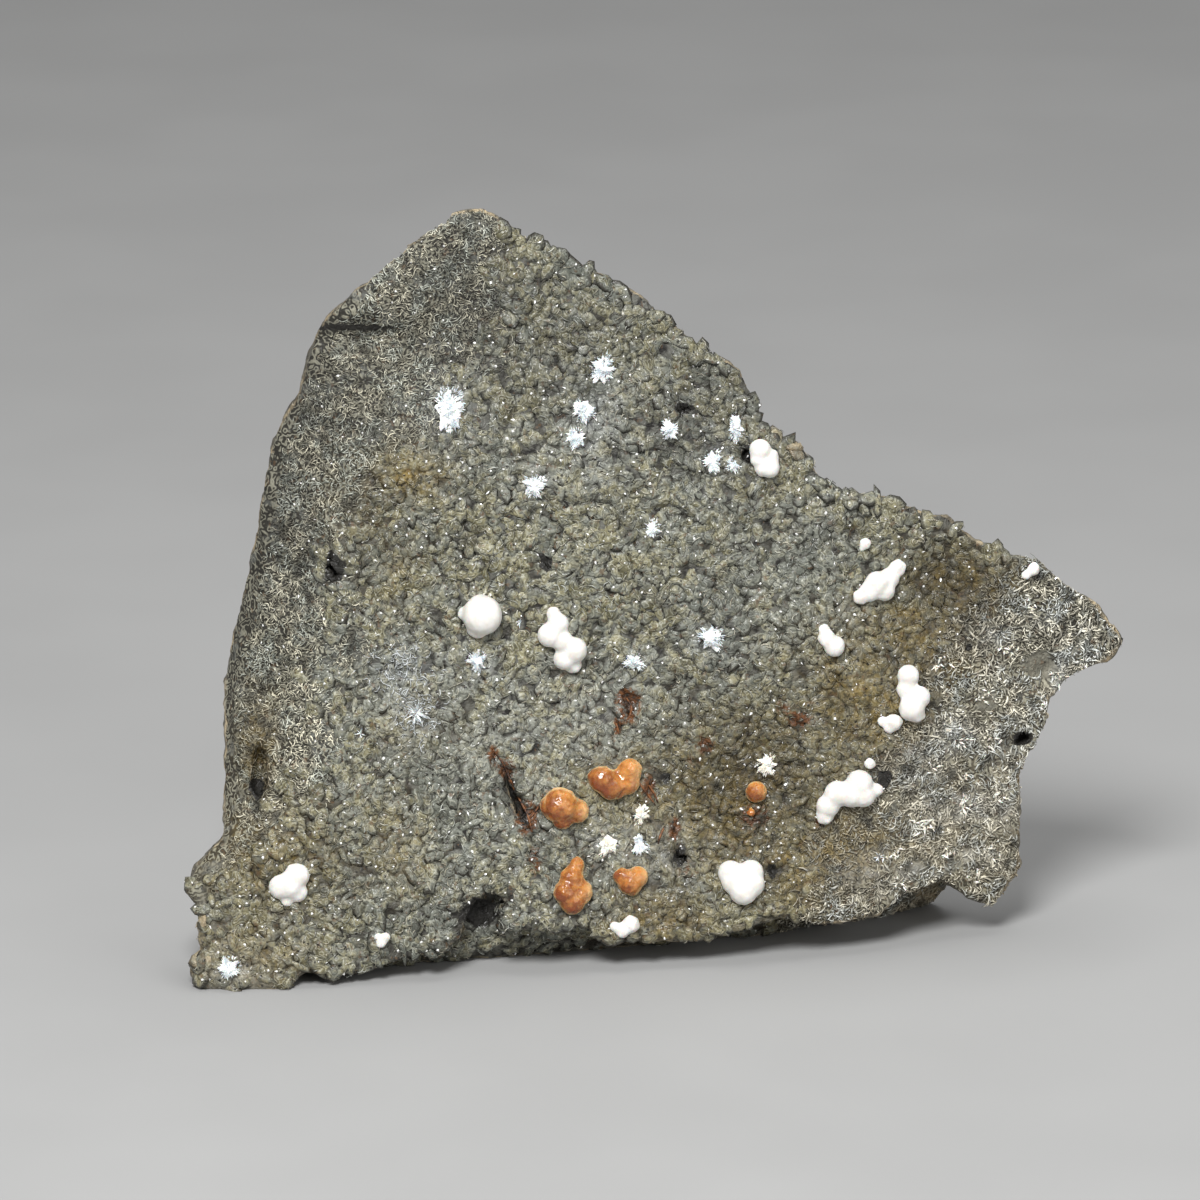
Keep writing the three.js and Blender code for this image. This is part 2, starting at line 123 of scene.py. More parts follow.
DARK_AND_SHADED = [
    (26.5, 36.6, 4.5, 6, 0.4), (31.3, 42.8, 6, 5, 0.65), (10.4, 22.7, 9, 8, 0.62),
    (12.5, 12.5, 1.4, 2.6, 0.7), (-33, 70.9, 5, 0.8, 0.8), (9.7, 57.5, 1.3, 2, 0.8),
    (2.4, 14.3, 1.5, 2, 0.7), (-42.6, 21.5, 1.2, 2.2, 0.8), (-16.1, 22.2, 0.9, 1.8, 0.9),
    (-14.9, 19.9, 1.0, 1.5, 0.9), (-13.5, 16.8, 0.6, 2.2, 0.7), (-3.2, 30.7, 0.6, 0.9, 0.9),
    (20.5, 28, 2, 3, 0.4), (-43.5, 29, 1.2, 3, 0.4), (-19.2, 8.4, 2.4, 1.7, 1),
    (0.5, 22.6, 1.6, 0.8, 0.8), (0.8, 16, 1, 1.4, 0.6), (23.5, 23.5, 3, 2.6, 0.5),
    (-7, 8.6, 5, 1.6, 0.3), (-37, 64, 9, 8, 0.52), (-40, 50, 5, 10, 0.5), (-12, 69, 12, 10, 0.45),
    (-44, 30, 3, 14, 0.2), (-45.5, 40, 2, 8, 0.4), (14, 50, 12, 5, 0.25), (-31, 51.5, 2, 5, 0.45),
    (5, 43, 10, 5, 0.15), (4, 62, 12, 8, 0.42), (-40, 12, 10, 8, 0.12), (0, 10, 6, 4, 0.3),
    (-20, 74, 10, 8, 0.55), (-20, 60, 12, 8, 0.2),
]
HAZE = [
    (-10.4, 27.6, 9, 5, 0.2), (-27.4, 34.4, 3.2, 2.8, 0.55), (-25.9, 29.6, 2.2, 2.6, 0.7),
    (31.8, 27.5, 2.6, 2, 1), (32.4, 19.5, 4.4, 1.6, 0.9), (-22.2, 61.9, 3.2, 4.2, 0.6),
    (-7, 61, 2.6, 6, 0.5), (5.7, 37.7, 2.6, 2.8, 0.4), (-19.4, 35.2, 2.6, 2.4, 0.5),
    (-13.3, 54, 2, 2, 0.5), (-2.5, 35.3, 2.4, 1.8, 0.4), (43.8, 33.2, 1, 3, 1),
    (28.5, 24, 3, 2.5, 0.7), (0, 15, 4, 3.4, 0.5), (-45.5, 2.6, 2.6, 2.4, 0.5),
    (7, 58.5, 3.4, 3.4, 0.35), (22.5, 12, 4, 2.4, 0.6), (37, 19, 2.5, 2, 0.6),
    (36, 38, 2, 1.6, 0.5), (-5, 16.2, 3, 2, 0.7), (27.5, 12.5, 2, 1, 0.8),
    (34.5, 14, 2.6, 1.4, 0.6), (41.5, 39.5, 2, 1, 0.5),
]
CREAM = [
    (30, 17, 9, 7, 1), (38, 20, 5, 9, 0.9), (40, 8, 4, 8, 0.8), (29, 12, 6, 4, 0.7),
    (42, 32, 6, 4, 0.5), (24, 11, 4, 3, 0.6), (-45, 2, 5, 2.5, 0.5),
]
FROST = [(-27.4, 34.4, 2.6, 2.4, 0.5), (-25.9, 29.8, 1.8, 2.4, 0.7)]
SLATE = [
    (-19, 24, 9, 9, 1), (-6, 30, 9, 6, 0.8), (14, 44, 9, 9, 0.8), (-8, 60, 10, 8, 0.7),
    (-24, 8, 8, 5, 0.6), (-8, 12, 6, 5, 0.7), (-30, 33, 5, 6, 0.6), (6, 52, 9, 6, 0.5),
]
# Holes with a sharp edge, painted black as the shade inside them:
# (across, up, half width, half height).
HOLES = [
    (-34.5, 45.4, 1.1, 1.7), (39.6, 26.9, 1.0, 0.9), (2.9, 62.4, 1.1, 0.6), (-11.7, 45.9, 0.9, 0.7),
    (-42.9, 21.8, 0.8, 1.2), (-19.2, 8.4, 2.1, 1.5), (9.7, 57.6, 0.6, 1.2),
    (-32.5, 70.9, 4.4, 0.35), (2.5, 14.3, 0.7, 0.9), (12.4, 12.8, 0.5, 1.0),
    (-15.6, 21.6, 0.35, 1.6), (-14.3, 18.7, 0.3, 1.2), (0.9, 22.9, 0.6, 0.4),
    (24.5, 22.6, 0.8, 1.1), (33.6, 36.8, 0.4, 0.4), (-16.2, 29.9, 0.4, 0.4),
]
BALD = [
    (41.4, 34.9, 2.2, 1.8, 1), (35.5, 30.5, 1.6, 0.9, 0.8), (30, 31.5, 0.9, 1.4, 0.8),
    (28, 13, 1.6, 0.9, 0.8),
]
# The rough left part of the outline, as [up, across]. A plain strip of rock runs along it.
LEFT_OUTLINE = np.array([
    [13, -49], [17, -46.4], [32, -46.5], [44.6, -43.5], [59, -40.9], [70, -36.3], [74.5, -32.3],
])
STRIP_WIDTH = (1.0, 2.2)  # the strip fades out between these distances from the outline
FELT_LEFT_FADE, FELT_RIGHT_FADE = 3.5, 2.0  # half the width over which the felt begins
FELT_LEFT_STRAY, FELT_RIGHT_STRAY = 5, 3  # how far those edges stray, in millimetres
FELT_BENDS = 5  # the size of the bends in them, in millimetres

# How stains and holes break up; lump sizes are in millimetres.
STAIN_STRENGTH, STAIN_SWING, STAIN_LUMP = 0.8, 0.6, 1.4
# Random sunken spots are painted nearly black as their shade.
SUNKEN_SHADE_LUMP = 1.5
HOLE_RAGGED, HOLE_LUMP = 0.5, 0.9
HOLE_EDGE = (0.75, 1.05)  # a hole's edge fades between these shares of its half width
# The black painted as shade in holes, hollows and the shaded dark places.
PAINTED_SHADE_BLACK = (0.012, 0.011, 0.009)
PORE_SIZE = 0.85  # millimetres between the pores' middles
# The rock's unevenness as (height, lump size, noise seed), in millimetres.
LINING_WAVES = ((0.16, 2.2, 3), (0.1, 0.7, 4), (0.2, 1.5, 9))
FRACTURE_WAVES = ((0.45, 4.5, 5), (0.3, 1.9, 6), (0.16, 0.8, 7))


def seen_at(points):
    """(across, up) in millimetres of points in metres."""
    across = points[:, 0] / MM
    up = points[:, 2] / MM * SIGHT_COS + (points[:, 1] / MM + FOOT_DEPTH) * SIGHT_SIN
    return across, up


def smoothstep(low, high, x):
    t = np.clip((x - low) / (high - low), 0, 1)
    return t * t * (3 - 2 * t)


def wobble(points, size, seed):
    """Smooth noise from -1 to 1 at each point, with lumps of the given size in millimetres."""
    shift = Vector((seed * 13.7, seed * 5.1, seed * 9.3))
    scale = 1 / (size * MM)
    return np.array([noise.noise(Vector(p) * scale + shift) for p in points])


def unevenness(points, waves):
    """Noise of several sizes added up, in millimetres."""
    return sum(height * wobble(points, size, seed) for height, size, seed in waves)


def blotches(places, across, up):
    """How strongly the named places cover each point."""
    cover = np.zeros(len(across))
    for x, y, half_width, half_height, strength in places:
        away = ((across - x) / half_width) ** 2 + ((up - y) / half_height) ** 2
        cover = np.maximum(cover, strength * np.exp(-away))
    return cover


def link(name, mesh):
    piece = bpy.data.objects.new(name, mesh)
    scene.collection.objects.link(piece)
    return piece


def bake(piece):
    """Applies the piece's modifiers."""
    evaluated = piece.evaluated_get(bpy.context.evaluated_depsgraph_get())
    mesh = bpy.data.meshes.new_from_object(evaluated)
    piece.modifiers.clear()
    piece.data = mesh
    return piece


def remeshed(name, node, voxel):
    """An evenly meshed copy of a CAD node."""
    piece = link(name, frame["nodes"][node].data.copy())
    piece.data.materials.clear()
    weld = piece.modifiers.new("weld", "WELD")
    weld.merge_threshold = 1e-6
    remesh = piece.modifiers.new("remesh", "REMESH")
    remesh.mode = "VOXEL"
    remesh.voxel_size = voxel * MM
    return bake(piece)


def coordinates(mesh):
    flat = np.empty(len(mesh.vertices) * 3)
    mesh.vertices.foreach_get("co", flat)
    return flat.reshape(-1, 3)


def normals(mesh):
    flat = np.empty(len(mesh.vertices) * 3)
    mesh.vertex_normals.foreach_get("vector", flat)
    return flat.reshape(-1, 3)


def move_to(mesh, points):
    """Puts the vertices in new places, never outside the CAD's own box."""
    held = np.clip(points, np.array(low_before), np.array(high_before))
    mesh.vertices.foreach_set("co", held.ravel())
    mesh.update()


def store(mesh, name, values):
    layer = mesh.attributes.get(name) or mesh.attributes.new(name, "FLOAT", "POINT")
    layer.data.foreach_set("value", values.astype(np.float32))


def fetch(mesh, name):
    values = np.empty(len(mesh.vertices))
    mesh.attributes[name].data.foreach_get("value", values)
    return values


def stain(mesh, front=1.0):
    """Stores how strong each stain, and each painted shade of holes, sunken spots and dark places,
    is at each vertex. Front is 1 where stains reach, else 0.
    """
    at = coordinates(mesh)
    across, up = seen_at(at)
    uneven = STAIN_STRENGTH + STAIN_SWING * wobble(at, STAIN_LUMP, 8)
    store(mesh, "ochre", blotches(OCHRE, across, up) * uneven * front)
    store(mesh, "haze", blotches(HAZE, across, up) * uneven * front)
    store(mesh, "rust", blotches(RUST, across, up) * front)
    store(mesh, "cream", blotches(CREAM, across, up) * front)
    # Random sunken spots, painted dark as shade.
    store(mesh, "sunken", smoothstep(0.0, -0.5, wobble(at, SUNKEN_SHADE_LUMP, 9)))
    store(mesh, "slate", blotches(SLATE, across, up))
    ragged = HOLE_RAGGED * wobble(at, HOLE_LUMP, 23)
    # Each hole is painted black as the shade inside it.
    hole = np.zeros(len(across))
    for x, y, half_width, half_height in HOLES:
        away = np.hypot((across - x) / half_width, (up - y) / half_height) + ragged
        hole = np.maximum(hole, 1 - smoothstep(*HOLE_EDGE, away))
    # Dark places: partly darker rock, partly painted shade.
    store(mesh, "dark", blotches(DARK_AND_SHADED, across, up) * front)
    store(mesh, "hole", hole * front)


class Wire:
    """One value in a node tree. Arithmetic adds Math nodes, and make() adds any other node."""

    def __init__(self, tree, socket=None):
        self.tree, self.socket = tree, socket

    def make(self, kind, output=0, settings=None, **inputs):
        family = "" if kind.startswith(("Geometry", "Function", "Shader")) else "ShaderNode"
        made = self.tree.nodes.new(family + kind)
        for key, value in (settings or {}).items():
            setattr(made, key, value)
        for key, value in inputs.items():
            number = key[1:]
            plug = made.inputs[int(number) if number.isdigit() else key.replace("_", " ")]
            if isinstance(value, Wire):
                self.tree.links.new(value.socket, plug)
            else:
                plug.default_value = value
        return Wire(self.tree, made.outputs[output])

    def math(self, operation, *values):
        inputs = {f"i{k}": value for k, value in enumerate(values)}
        return self.make("Math", settings={"operation": operation}, **inputs)

    def __add__(self, other):
        return self.math("ADD", self, other)

    def __sub__(self, other):
        return self.math("SUBTRACT", self, other)

    def __rsub__(self, other):
        return self.math("SUBTRACT", other, self)

    def __mul__(self, other):
        return self.math("MULTIPLY", self, other)

    def __pow__(self, other):
        return self.math("POWER", self, other)

    def ramp(self, low, high, to_low=0.0, to_high=1.0):
        return self.make(
            "MapRange",
            settings={"interpolation_type": "SMOOTHSTEP"},
            i0=self, i1=low, i2=high, i3=to_low, i4=to_high,
        )

    def between(self, colour_low, colour_high):
        """Mixes two colours by this value."""
        mixed = self.tree.nodes.new("ShaderNodeMix")
        mixed.data_type = "RGBA"
        plugs = (mixed.inputs[0], mixed.inputs[6], mixed.inputs[7])
        for plug, value in zip(plugs, (self, colour_low, colour_high)):
            if isinstance(value, Wire):
                self.tree.links.new(value.socket, plug)
            else:
                plug.default_value = (*value, 1) if len(value) == 3 else value
        return Wire(self.tree, mixed.outputs[2])


def material(name, **constants):
    """A new material: (material, place in millimetres, surface shader, attribute reader)."""
    made = bpy.data.materials.new(name)
    made.use_nodes = True
    tree = made.node_tree
    surface = next(n for n in tree.nodes if n.type == "BSDF_PRINCIPLED")
    for key, value in constants.items():
        surface.inputs[key.replace("_", " ")].default_value = value
    start = Wire(tree)
    place = start.make("TexCoord", output="Object")
    place = place.make("VectorMath", settings={"operation": "SCALE"}, Vector=place, Scale=1 / MM)

    def reads(key):
        return start.make("Attribute", output="Fac", settings={"attribute_name": key})

    return made, place, surface, reads


def plug_in(wire, surface, name):
    wire.tree.links.new(wire.socket, surface.inputs[name])


def cloud(place, size, detail=3.0, rough=0.55):
    """Noise with lumps of the given size in millimetres."""
    return place.make("TexNoise", Vector=place, Scale=1 / size, Detail=detail, Roughness=rough)


def curls(place, size, turns):
    """Thin curling ridges: the contour lines of a noise."""
    phase = cloud(place, size, 1.0, 0.4) * turns
    return 1 - place.math("PINGPONG", phase, 1.0)


def pore_shade(place):
    """Small pores strewn over the rock, painted dark as the shade inside them; 1 in the middle of
    each.
    """
    cells = place.make("TexVoronoi", Vector=place, Scale=1 / PORE_SIZE)
    ragged = cells + cloud(place, 0.25, 1) * 0.25
    return ragged.ramp(0.34, 0.27)


def weathered(colour, place, reads):
    """The stains and the pale haze that pass over the rock and all that lines it, and painted shade
    in its pores, sunken spots, holes and dark places.
    """
    patch = cloud(place, 1.3, 3)
    speck = cloud(place, 0.5, 3)
    ochre_colour = speck.ramp(0.3, 0.65).between((0.06, 0.042, 0.012), (0.24, 0.17, 0.048))
    rust_colour = speck.ramp(0.4, 0.65).between((0.05, 0.018, 0.006), (0.17, 0.065, 0.018))
    brown_specks = cloud(place, 0.7, 2).ramp(0.62, 0.7) * 0.55
    for cover, over in (
        (reads("cream") * patch.ramp(0.35, 0.6, 0.2, 0.8) * 0.35, (0.62, 0.54, 0.38)),
        (reads("ochre") * patch.ramp(0.35, 0.6, 0.55, 1.0), ochre_colour),
        (brown_specks, (0.13, 0.07, 0.03)),
        (reads("haze") * patch.ramp(0.35, 0.65, 0.2, 1.0) * 0.6, (0.47, 0.49, 0.49)),
        (reads("rim") * patch.ramp(0.35, 0.6, 0.3, 1.0), (0.5, 0.4, 0.25)),
        ((reads("rust") * speck.ramp(0.35, 0.6, 0.6, 1.4)).ramp(0.3, 0.75), rust_colour),
        # pores: painted shade
        (pore_shade(place) * 0.85, (0.014, 0.012, 0.009)),
        # sunken spots: painted shade
        (reads("sunken") * patch.ramp(0.35, 0.6, 0.65, 0.2), (0.03, 0.027, 0.021)),
        # dark places: partly darker rock, partly painted shade
        (reads("dark") * 0.92, PAINTED_SHADE_BLACK),
        # holes: painted shade
        (reads("hole").ramp(0.3, 0.55) * 0.97, PAINTED_SHADE_BLACK),
    ):
        colour = cover.between(colour, over)
    return colour


rock = remeshed("rock", "rock_matrix", ROCK_VOXEL)
skin = rock.data
facing = normals(skin) @ TO_CAMERA
behind = rock.vertex_groups.new(name="behind")
behind.add([int(i) for i in np.flatnonzero(facing < ROCK_BEHIND)], 1.0, "REPLACE")
coarser = rock.modifiers.new("coarser", "DECIMATE")
triangle_count = sum(len(p.vertices) - 2 for p in skin.polygons)
coarser.ratio = min(1.0, ROCK_TRIANGLES / triangle_count)
coarser.vertex_group = "behind"
coarser.vertex_group_factor = ROCK_COARSENING
bake(rock)
rock.vertex_groups.clear()
skin = rock.data

points = coordinates(skin)
outward = normals(skin)
across, up = seen_at(points)
facing = smoothstep(0.1, 0.45, outward @ TO_CAMERA)
left_of_edge = np.interp(up, *FELT_LEFT.T) - across
right_of_edge = across - np.interp(up, *FELT_RIGHT.T)
left_of_edge += FELT_LEFT_STRAY * wobble(points, FELT_BENDS, 1)
right_of_edge += FELT_RIGHT_STRAY * wobble(points, FELT_BENDS, 2)
felt = np.maximum(
    smoothstep(-FELT_LEFT_FADE, FELT_LEFT_FADE, left_of_edge),
    smoothstep(-FELT_RIGHT_FADE, FELT_RIGHT_FADE, right_of_edge),
)
side = 1 - facing
raised = facing * unevenness(points, LINING_WAVES) + side * unevenness(points, FRACTURE_WAVES)
move_to(skin, points + outward * (raised * MM)[:, None])
points = coordinates(skin)

stain(skin, smoothstep(-0.3, 0.1, outward @ TO_CAMERA))
dark = np.maximum(fetch(skin, "dark"), fetch(skin, "hole"))
open_rock = facing * (1 - smoothstep(0.5, 0.85, dark))
# Hollows: random gaps in the knob cover, painted black as their shade.
hollow = smoothstep(0.3, 0.4, wobble(points, 0.85, 20)) * facing * (1 - felt)
bald = smoothstep(0.4, 0.6, blotches(BALD, across, up))
thin = smoothstep(-0.45, 0.1, wobble(points, 2.6, 10))
strip = smoothstep(*STRIP_WIDTH, across - np.interp(up, *LEFT_OUTLINE.T))
store(skin, "felt", felt)
well_turned = smoothstep(0.4, 0.65, outward @ TO_CAMERA)
store(skin, "lining", open_rock * well_turned * (1 - felt) * (1 - hollow))
store(skin, "hollow", hollow)
matted = open_rock * felt * smoothstep(0.4, 0.9, facing) * (1 - bald)
store(skin, "matted_left", matted * strip * (across < 0) * (0.5 + 0.5 * thin))
store(skin, "matted_right", matted * (across >= 0) * (0.4 + 0.6 * thin))
store(skin, "fibrous", matted * thin * (across >= 0))
store(skin, "rim", np.minimum(1, 8 * facing * side) * smoothstep(-0.4, 0.2, wobble(points, 3, 14)))
store(skin, "bald", bald)
store(skin, "side", side)
store(skin, "crest", np.zeros(len(points)))

ground, place, surface, reads = material("lava", Specular_IOR_Level=0.4)
tone = cloud(place, 9, 2)
patch = cloud(place, 2.2, 2)
grain = cloud(place, 0.3, 2)
gap_colour = patch.ramp(0.35, 0.65).between((0.05, 0.047, 0.036), (0.13, 0.13, 0.112))
# The hollows are painted black as their shade.
gap_colour = reads("hollow").between(gap_colour, PAINTED_SHADE_BLACK)
felt_line = curls(place, 0.9, 10)
felt_colour = felt_line.ramp(0.35, 0.85).between((0.024, 0.022, 0.016), (0.29, 0.28, 0.215))
felt_colour = patch.ramp(0.56, 0.66, 0.0, 0.6).between(felt_colour, (0.15, 0.155, 0.14))
side_colour = tone.ramp(0.3, 0.7).between((0.1, 0.095, 0.078), (0.17, 0.155, 0.12))
side_colour = grain.ramp(0.45, 0.75).between(side_colour, (0.28, 0.26, 0.21))
colour = reads("felt").between(gap_colour, felt_colour)
bald_colour = grain.ramp(0.3, 0.7).between((0.1, 0.096, 0.075), (0.19, 0.185, 0.15))
colour = reads("bald").between(colour, bald_colour)
colour = reads("side").between(colour, side_colour)
plug_in(weathered(colour, place, reads), surface, "Base Color")
plug_in(grain.ramp(0.3, 0.7, 0.45, 0.85), surface, "Roughness")
craggy = cloud(place, 2.5, 5, 0.6) * reads("side")
relief = felt_line * 0.5 + grain + craggy * 9
plug_in(place.make("Bump", Strength=0.8, Distance=0.15 * MM, Height=relief), surface, "Normal")
skin.materials.append(ground)
skin.shade_smooth()
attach(rock, "root")
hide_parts("rock_matrix")


# The knobs
#
# The gas hole is lined with round, slightly glossy knobs a millimetre or more across, olive-brown
# or blue-grey, that grew on the rock. They touch each other, with dark gaps between, and their feet
# are painted darker as shade.

KNOB_SPACING = 0.82  # millimetres between middles, at least
KNOB_TRIES = 8  # places tried on each square millimetre
KNOB_SIZE = (0.6, 1.3)  # half width
KNOB_SEGMENTS = 8
KNOB_PROFILE = ((1.05, -0.35), (0.9, -0.05), (0.55, 0.2))  # (radius, height) of its rings
KNOB_TOP = 0.28
KNOB_STRETCH = (1.0, 1.5)
KNOB_BEND = 0.22
KNOB_LOPSIDED = (0.05, 0.25)  # how far its outline strays from a circle
KNOB_DENT, KNOB_TOP_SHIFT = 0.04, 0.12  # in half widths
KNOB_SHAPES = 10
KNOB_WAVES = ((0.17, 1.1, 0), (0.07, 0.45, 5))  # what pushes the knobs about, like the rock's waves


def growth():
    """Geometry Nodes that grow copies of a few shapes on a surface, turned by a slow swirl."""
    tree = bpy.data.node_groups.new("growth", "GeometryNodeTree")
    sockets = {}
    for name, kind in (
        ("Surface", "Geometry"), ("Shapes", "Collection"), ("Finish", "Material"),
        ("Where", "String"), ("Spacing", "Float"), ("Density", "Float"), ("Smallest", "Float"),
        ("Largest", "Float"), ("Tilt", "Float"), ("Swirl", "Float"), ("Turns", "Float"),
        ("Seed", "Int"),
    ):
        socket_type = "NodeSocket" + kind
        socket = tree.interface.new_socket(name=name, in_out="INPUT", socket_type=socket_type)
        sockets[name] = socket.identifier
    tree.interface.new_socket(name="Grown", in_out="OUTPUT", socket_type="NodeSocketGeometry")
    entry = tree.nodes.new("NodeGroupInput")
    given = {name: Wire(tree, entry.outputs[name]) for name in sockets}
    start = given["Surface"]
    cover = start.make(
        "GeometryNodeInputNamedAttribute", settings={"data_type": "FLOAT"}, Name=given["Where"]
    )
    spots = start.make(
        "GeometryNodeDistributePointsOnFaces",
        settings={"distribute_method": "POISSON"},
        Mesh=given["Surface"], Distance_Min=given["Spacing"], Density_Max=given["Density"],
        Density_Factor=cover, Seed=given["Seed"],
    )
    upright = Wire(tree, spots.socket.node.outputs["Rotation"])
    chance = start.make(
        "FunctionNodeRandomValue", output=1, settings={"data_type": "FLOAT"},
        i2=0.0, i3=1.0, Seed=given["Seed"],
    )
    spots = start.make(
        "GeometryNodeStoreNamedAttribute",
        settings={"data_type": "FLOAT", "domain": "POINT"},
        Geometry=spots, Name="hue", Value=chance,
    )
    place = start.make("GeometryNodeInputPosition")
    place = start.make("VectorMath", settings={"operation": "SCALE"}, Vector=place, Scale=1 / MM)
    swirl = start.make("TexNoise", Vector=place, Scale=given["Swirl"], Detail=0.0) * given["Turns"]
    lean = [
        start.make(
            "FunctionNodeRandomValue", output=1, settings={"data_type": "FLOAT"},
            i2=given["Tilt"] * -1.0, i3=given["Tilt"], Seed=given["Seed"] + extra,
        )
        for extra in (1, 2, 4)
    ]
    angles = start.make("CombineXYZ", X=lean[0], Y=lean[1], Z=swirl + lean[2] * 2.0)
    lean = start.make("FunctionNodeEulerToRotation", Euler=angles)
    turned = start.make(
        "FunctionNodeRotateRotation", settings={"rotation_space": "LOCAL"},
        Rotation=upright, Rotate_By=lean,
    )
    low = start.make("CombineXYZ", X=given["Smallest"], Y=given["Smallest"], Z=given["Smallest"])
    high = start.make("CombineXYZ", X=given["Largest"], Y=given["Largest"], Z=given["Largest"])
    size = start.make(
        "FunctionNodeRandomValue", settings={"data_type": "FLOAT_VECTOR"},
        i0=low, i1=high, Seed=given["Seed"] + 3,
    )
    shapes = start.make(
        "GeometryNodeCollectionInfo",
        Collection=given["Shapes"], Separate_Children=True, Reset_Children=True,
    )
    copies = start.make(
        "GeometryNodeInstanceOnPoints",
        Points=spots, Instance=shapes, Pick_Instance=True, Rotation=turned, Scale=size,
    )
    whole = start.make("GeometryNodeRealizeInstances", Geometry=copies)
    whole = start.make("GeometryNodeSetMaterial", Geometry=whole, Material=given["Finish"])
    tree.links.new(whole.socket, tree.nodes.new("NodeGroupOutput").inputs[0])
    return tree, sockets


growth_tree, growth_sockets = growth()


def grow(name, surface_piece, shapes, **sizes):
    """Grows shapes, each (vertices, faces, crest), on a surface and returns the new piece."""
    patterns = bpy.data.collections.new(name + "_shapes")
    for k, (verts, faces, crest) in enumerate(shapes):
        mesh = bpy.data.meshes.new(f"{name}_shape_{k}")
        mesh.from_pydata([tuple(v) for v in verts], [], faces)
        store(mesh, "crest", np.array(crest))
        patterns.objects.link(bpy.data.objects.new(f"{name}_shape_{k}", mesh))
    piece = link(name, surface_piece.data.copy())
    piece.data.materials.clear()
    nodes = piece.modifiers.new("growth", "NODES")
    nodes.node_group = growth_tree
    for key, value in dict(sizes, Shapes=patterns).items():
        nodes[growth_sockets[key]] = value
    bake(piece)
    move_to(piece.data, coordinates(piece.data))
    stain(piece.data)
    for shape in list(patterns.objects):
        bpy.data.objects.remove(shape)
    bpy.data.collections.remove(patterns)
    piece.data.shade_smooth()
    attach(piece, "root")
    return piece


def knob_shape():
    """A lopsided dome with a closed, slightly sunken foot."""
    lopsided = rng.uniform(*KNOB_LOPSIDED, 2)
    stretch, bend = rng.uniform(*KNOB_STRETCH), rng.uniform(-KNOB_BEND, KNOB_BEND)
    phase = rng.uniform(0, 2 * math.pi, 2)
    angle = np.arange(KNOB_SEGMENTS) * 2 * math.pi / KNOB_SEGMENTS
    girth = 1 + lopsided[0] * np.sin(2 * angle + phase[0])
    girth += lopsided[1] * 0.6 * np.sin(3 * angle + phase[1])
    verts = []
    for radius, height in KNOB_PROFILE:
        dents = rng.normal(0, KNOB_DENT, KNOB_SEGMENTS)
        for a, g, bump in zip(angle, girth, dents):
            x = radius * g * math.cos(a) * stretch
            y = radius * g * math.sin(a) / math.sqrt(stretch)
            verts.append(np.array([x, y + bend * (x * x - 0.5), height + bump]) * MM)
    verts.append(np.array([*rng.normal(0, KNOB_TOP_SHIFT, 2), KNOB_TOP]) * MM)
    faces = []
    for ring in (0, KNOB_SEGMENTS):
        above = ring + KNOB_SEGMENTS
        for k in range(KNOB_SEGMENTS):
            after = (k + 1) % KNOB_SEGMENTS
            faces.append((ring + k, ring + after, above + after, above + k))
    last = 2 * KNOB_SEGMENTS
    for k in range(KNOB_SEGMENTS):
        faces.append((last + k, last + (k + 1) % KNOB_SEGMENTS, len(verts) - 1))
    faces.append(tuple(range(KNOB_SEGMENTS))[::-1])
    crest = [np.clip(v[2] / MM / KNOB_TOP, 0, 1) for v in verts]
    return verts, faces, crest


pebble, place, surface, reads = material("knobs", Specular_IOR_Level=0.5)
tone = cloud(place, 9, 2)
patch = cloud(place, 2.0, 3, 0.6)
mottle = cloud(place, 0.6, 2)
grain = cloud(place, 0.25, 1)
crest, hue = reads("crest"), reads("hue")
fine_curls = curls(place, 1.0, 12)
blue_grey = (tone * 0.5 + mottle * 0.5).ramp(0.38, 0.62)
blue_grey = blue_grey.between((0.127, 0.136, 0.113), (0.238, 0.244, 0.205))
olive = (hue * 0.3 + mottle * 0.7).ramp(0.35, 0.65)
olive = olive.between((0.127, 0.117, 0.06), (0.264, 0.244, 0.145))
olive_share = patch * 0.6 + tone * 0.2 + mottle * 0.1 + crest * 0.1 - reads("slate") * 0.12
colour = olive_share.ramp(0.42, 0.58).between(blue_grey, olive)
# Pale curls along the knobs: partly their own pale needles, partly painted sheen.
pale_curls_and_sheen = fine_curls.ramp(0.62, 0.95) * patch.ramp(0.38, 0.55) * 0.6
colour = pale_curls_and_sheen.between(colour, (0.44, 0.44, 0.36))
dark_lines = fine_curls.ramp(0.3, 0.05) * mottle.ramp(0.6, 0.45) * 0.7
colour = dark_lines.between(colour, (0.05, 0.046, 0.035))
# Painted shade: the knobs' feet are darkened where they meet in the gaps.
painted_gap_shade = crest.ramp(0.35, 0.0) * patch.ramp(0.6, 0.4, 0.45, 0.95)
colour = painted_gap_shade.between(colour, (0.035, 0.032, 0.024))
plug_in(weathered(colour, place, reads), surface, "Base Color")
plug_in(grain.ramp(0.3, 0.7, 0.25, 0.6), surface, "Roughness")
relief = fine_curls * 0.5 + grain * 0.6 + mottle
plug_in(place.make("Bump", Strength=0.7, Distance=0.17 * MM, Height=relief), surface, "Normal")

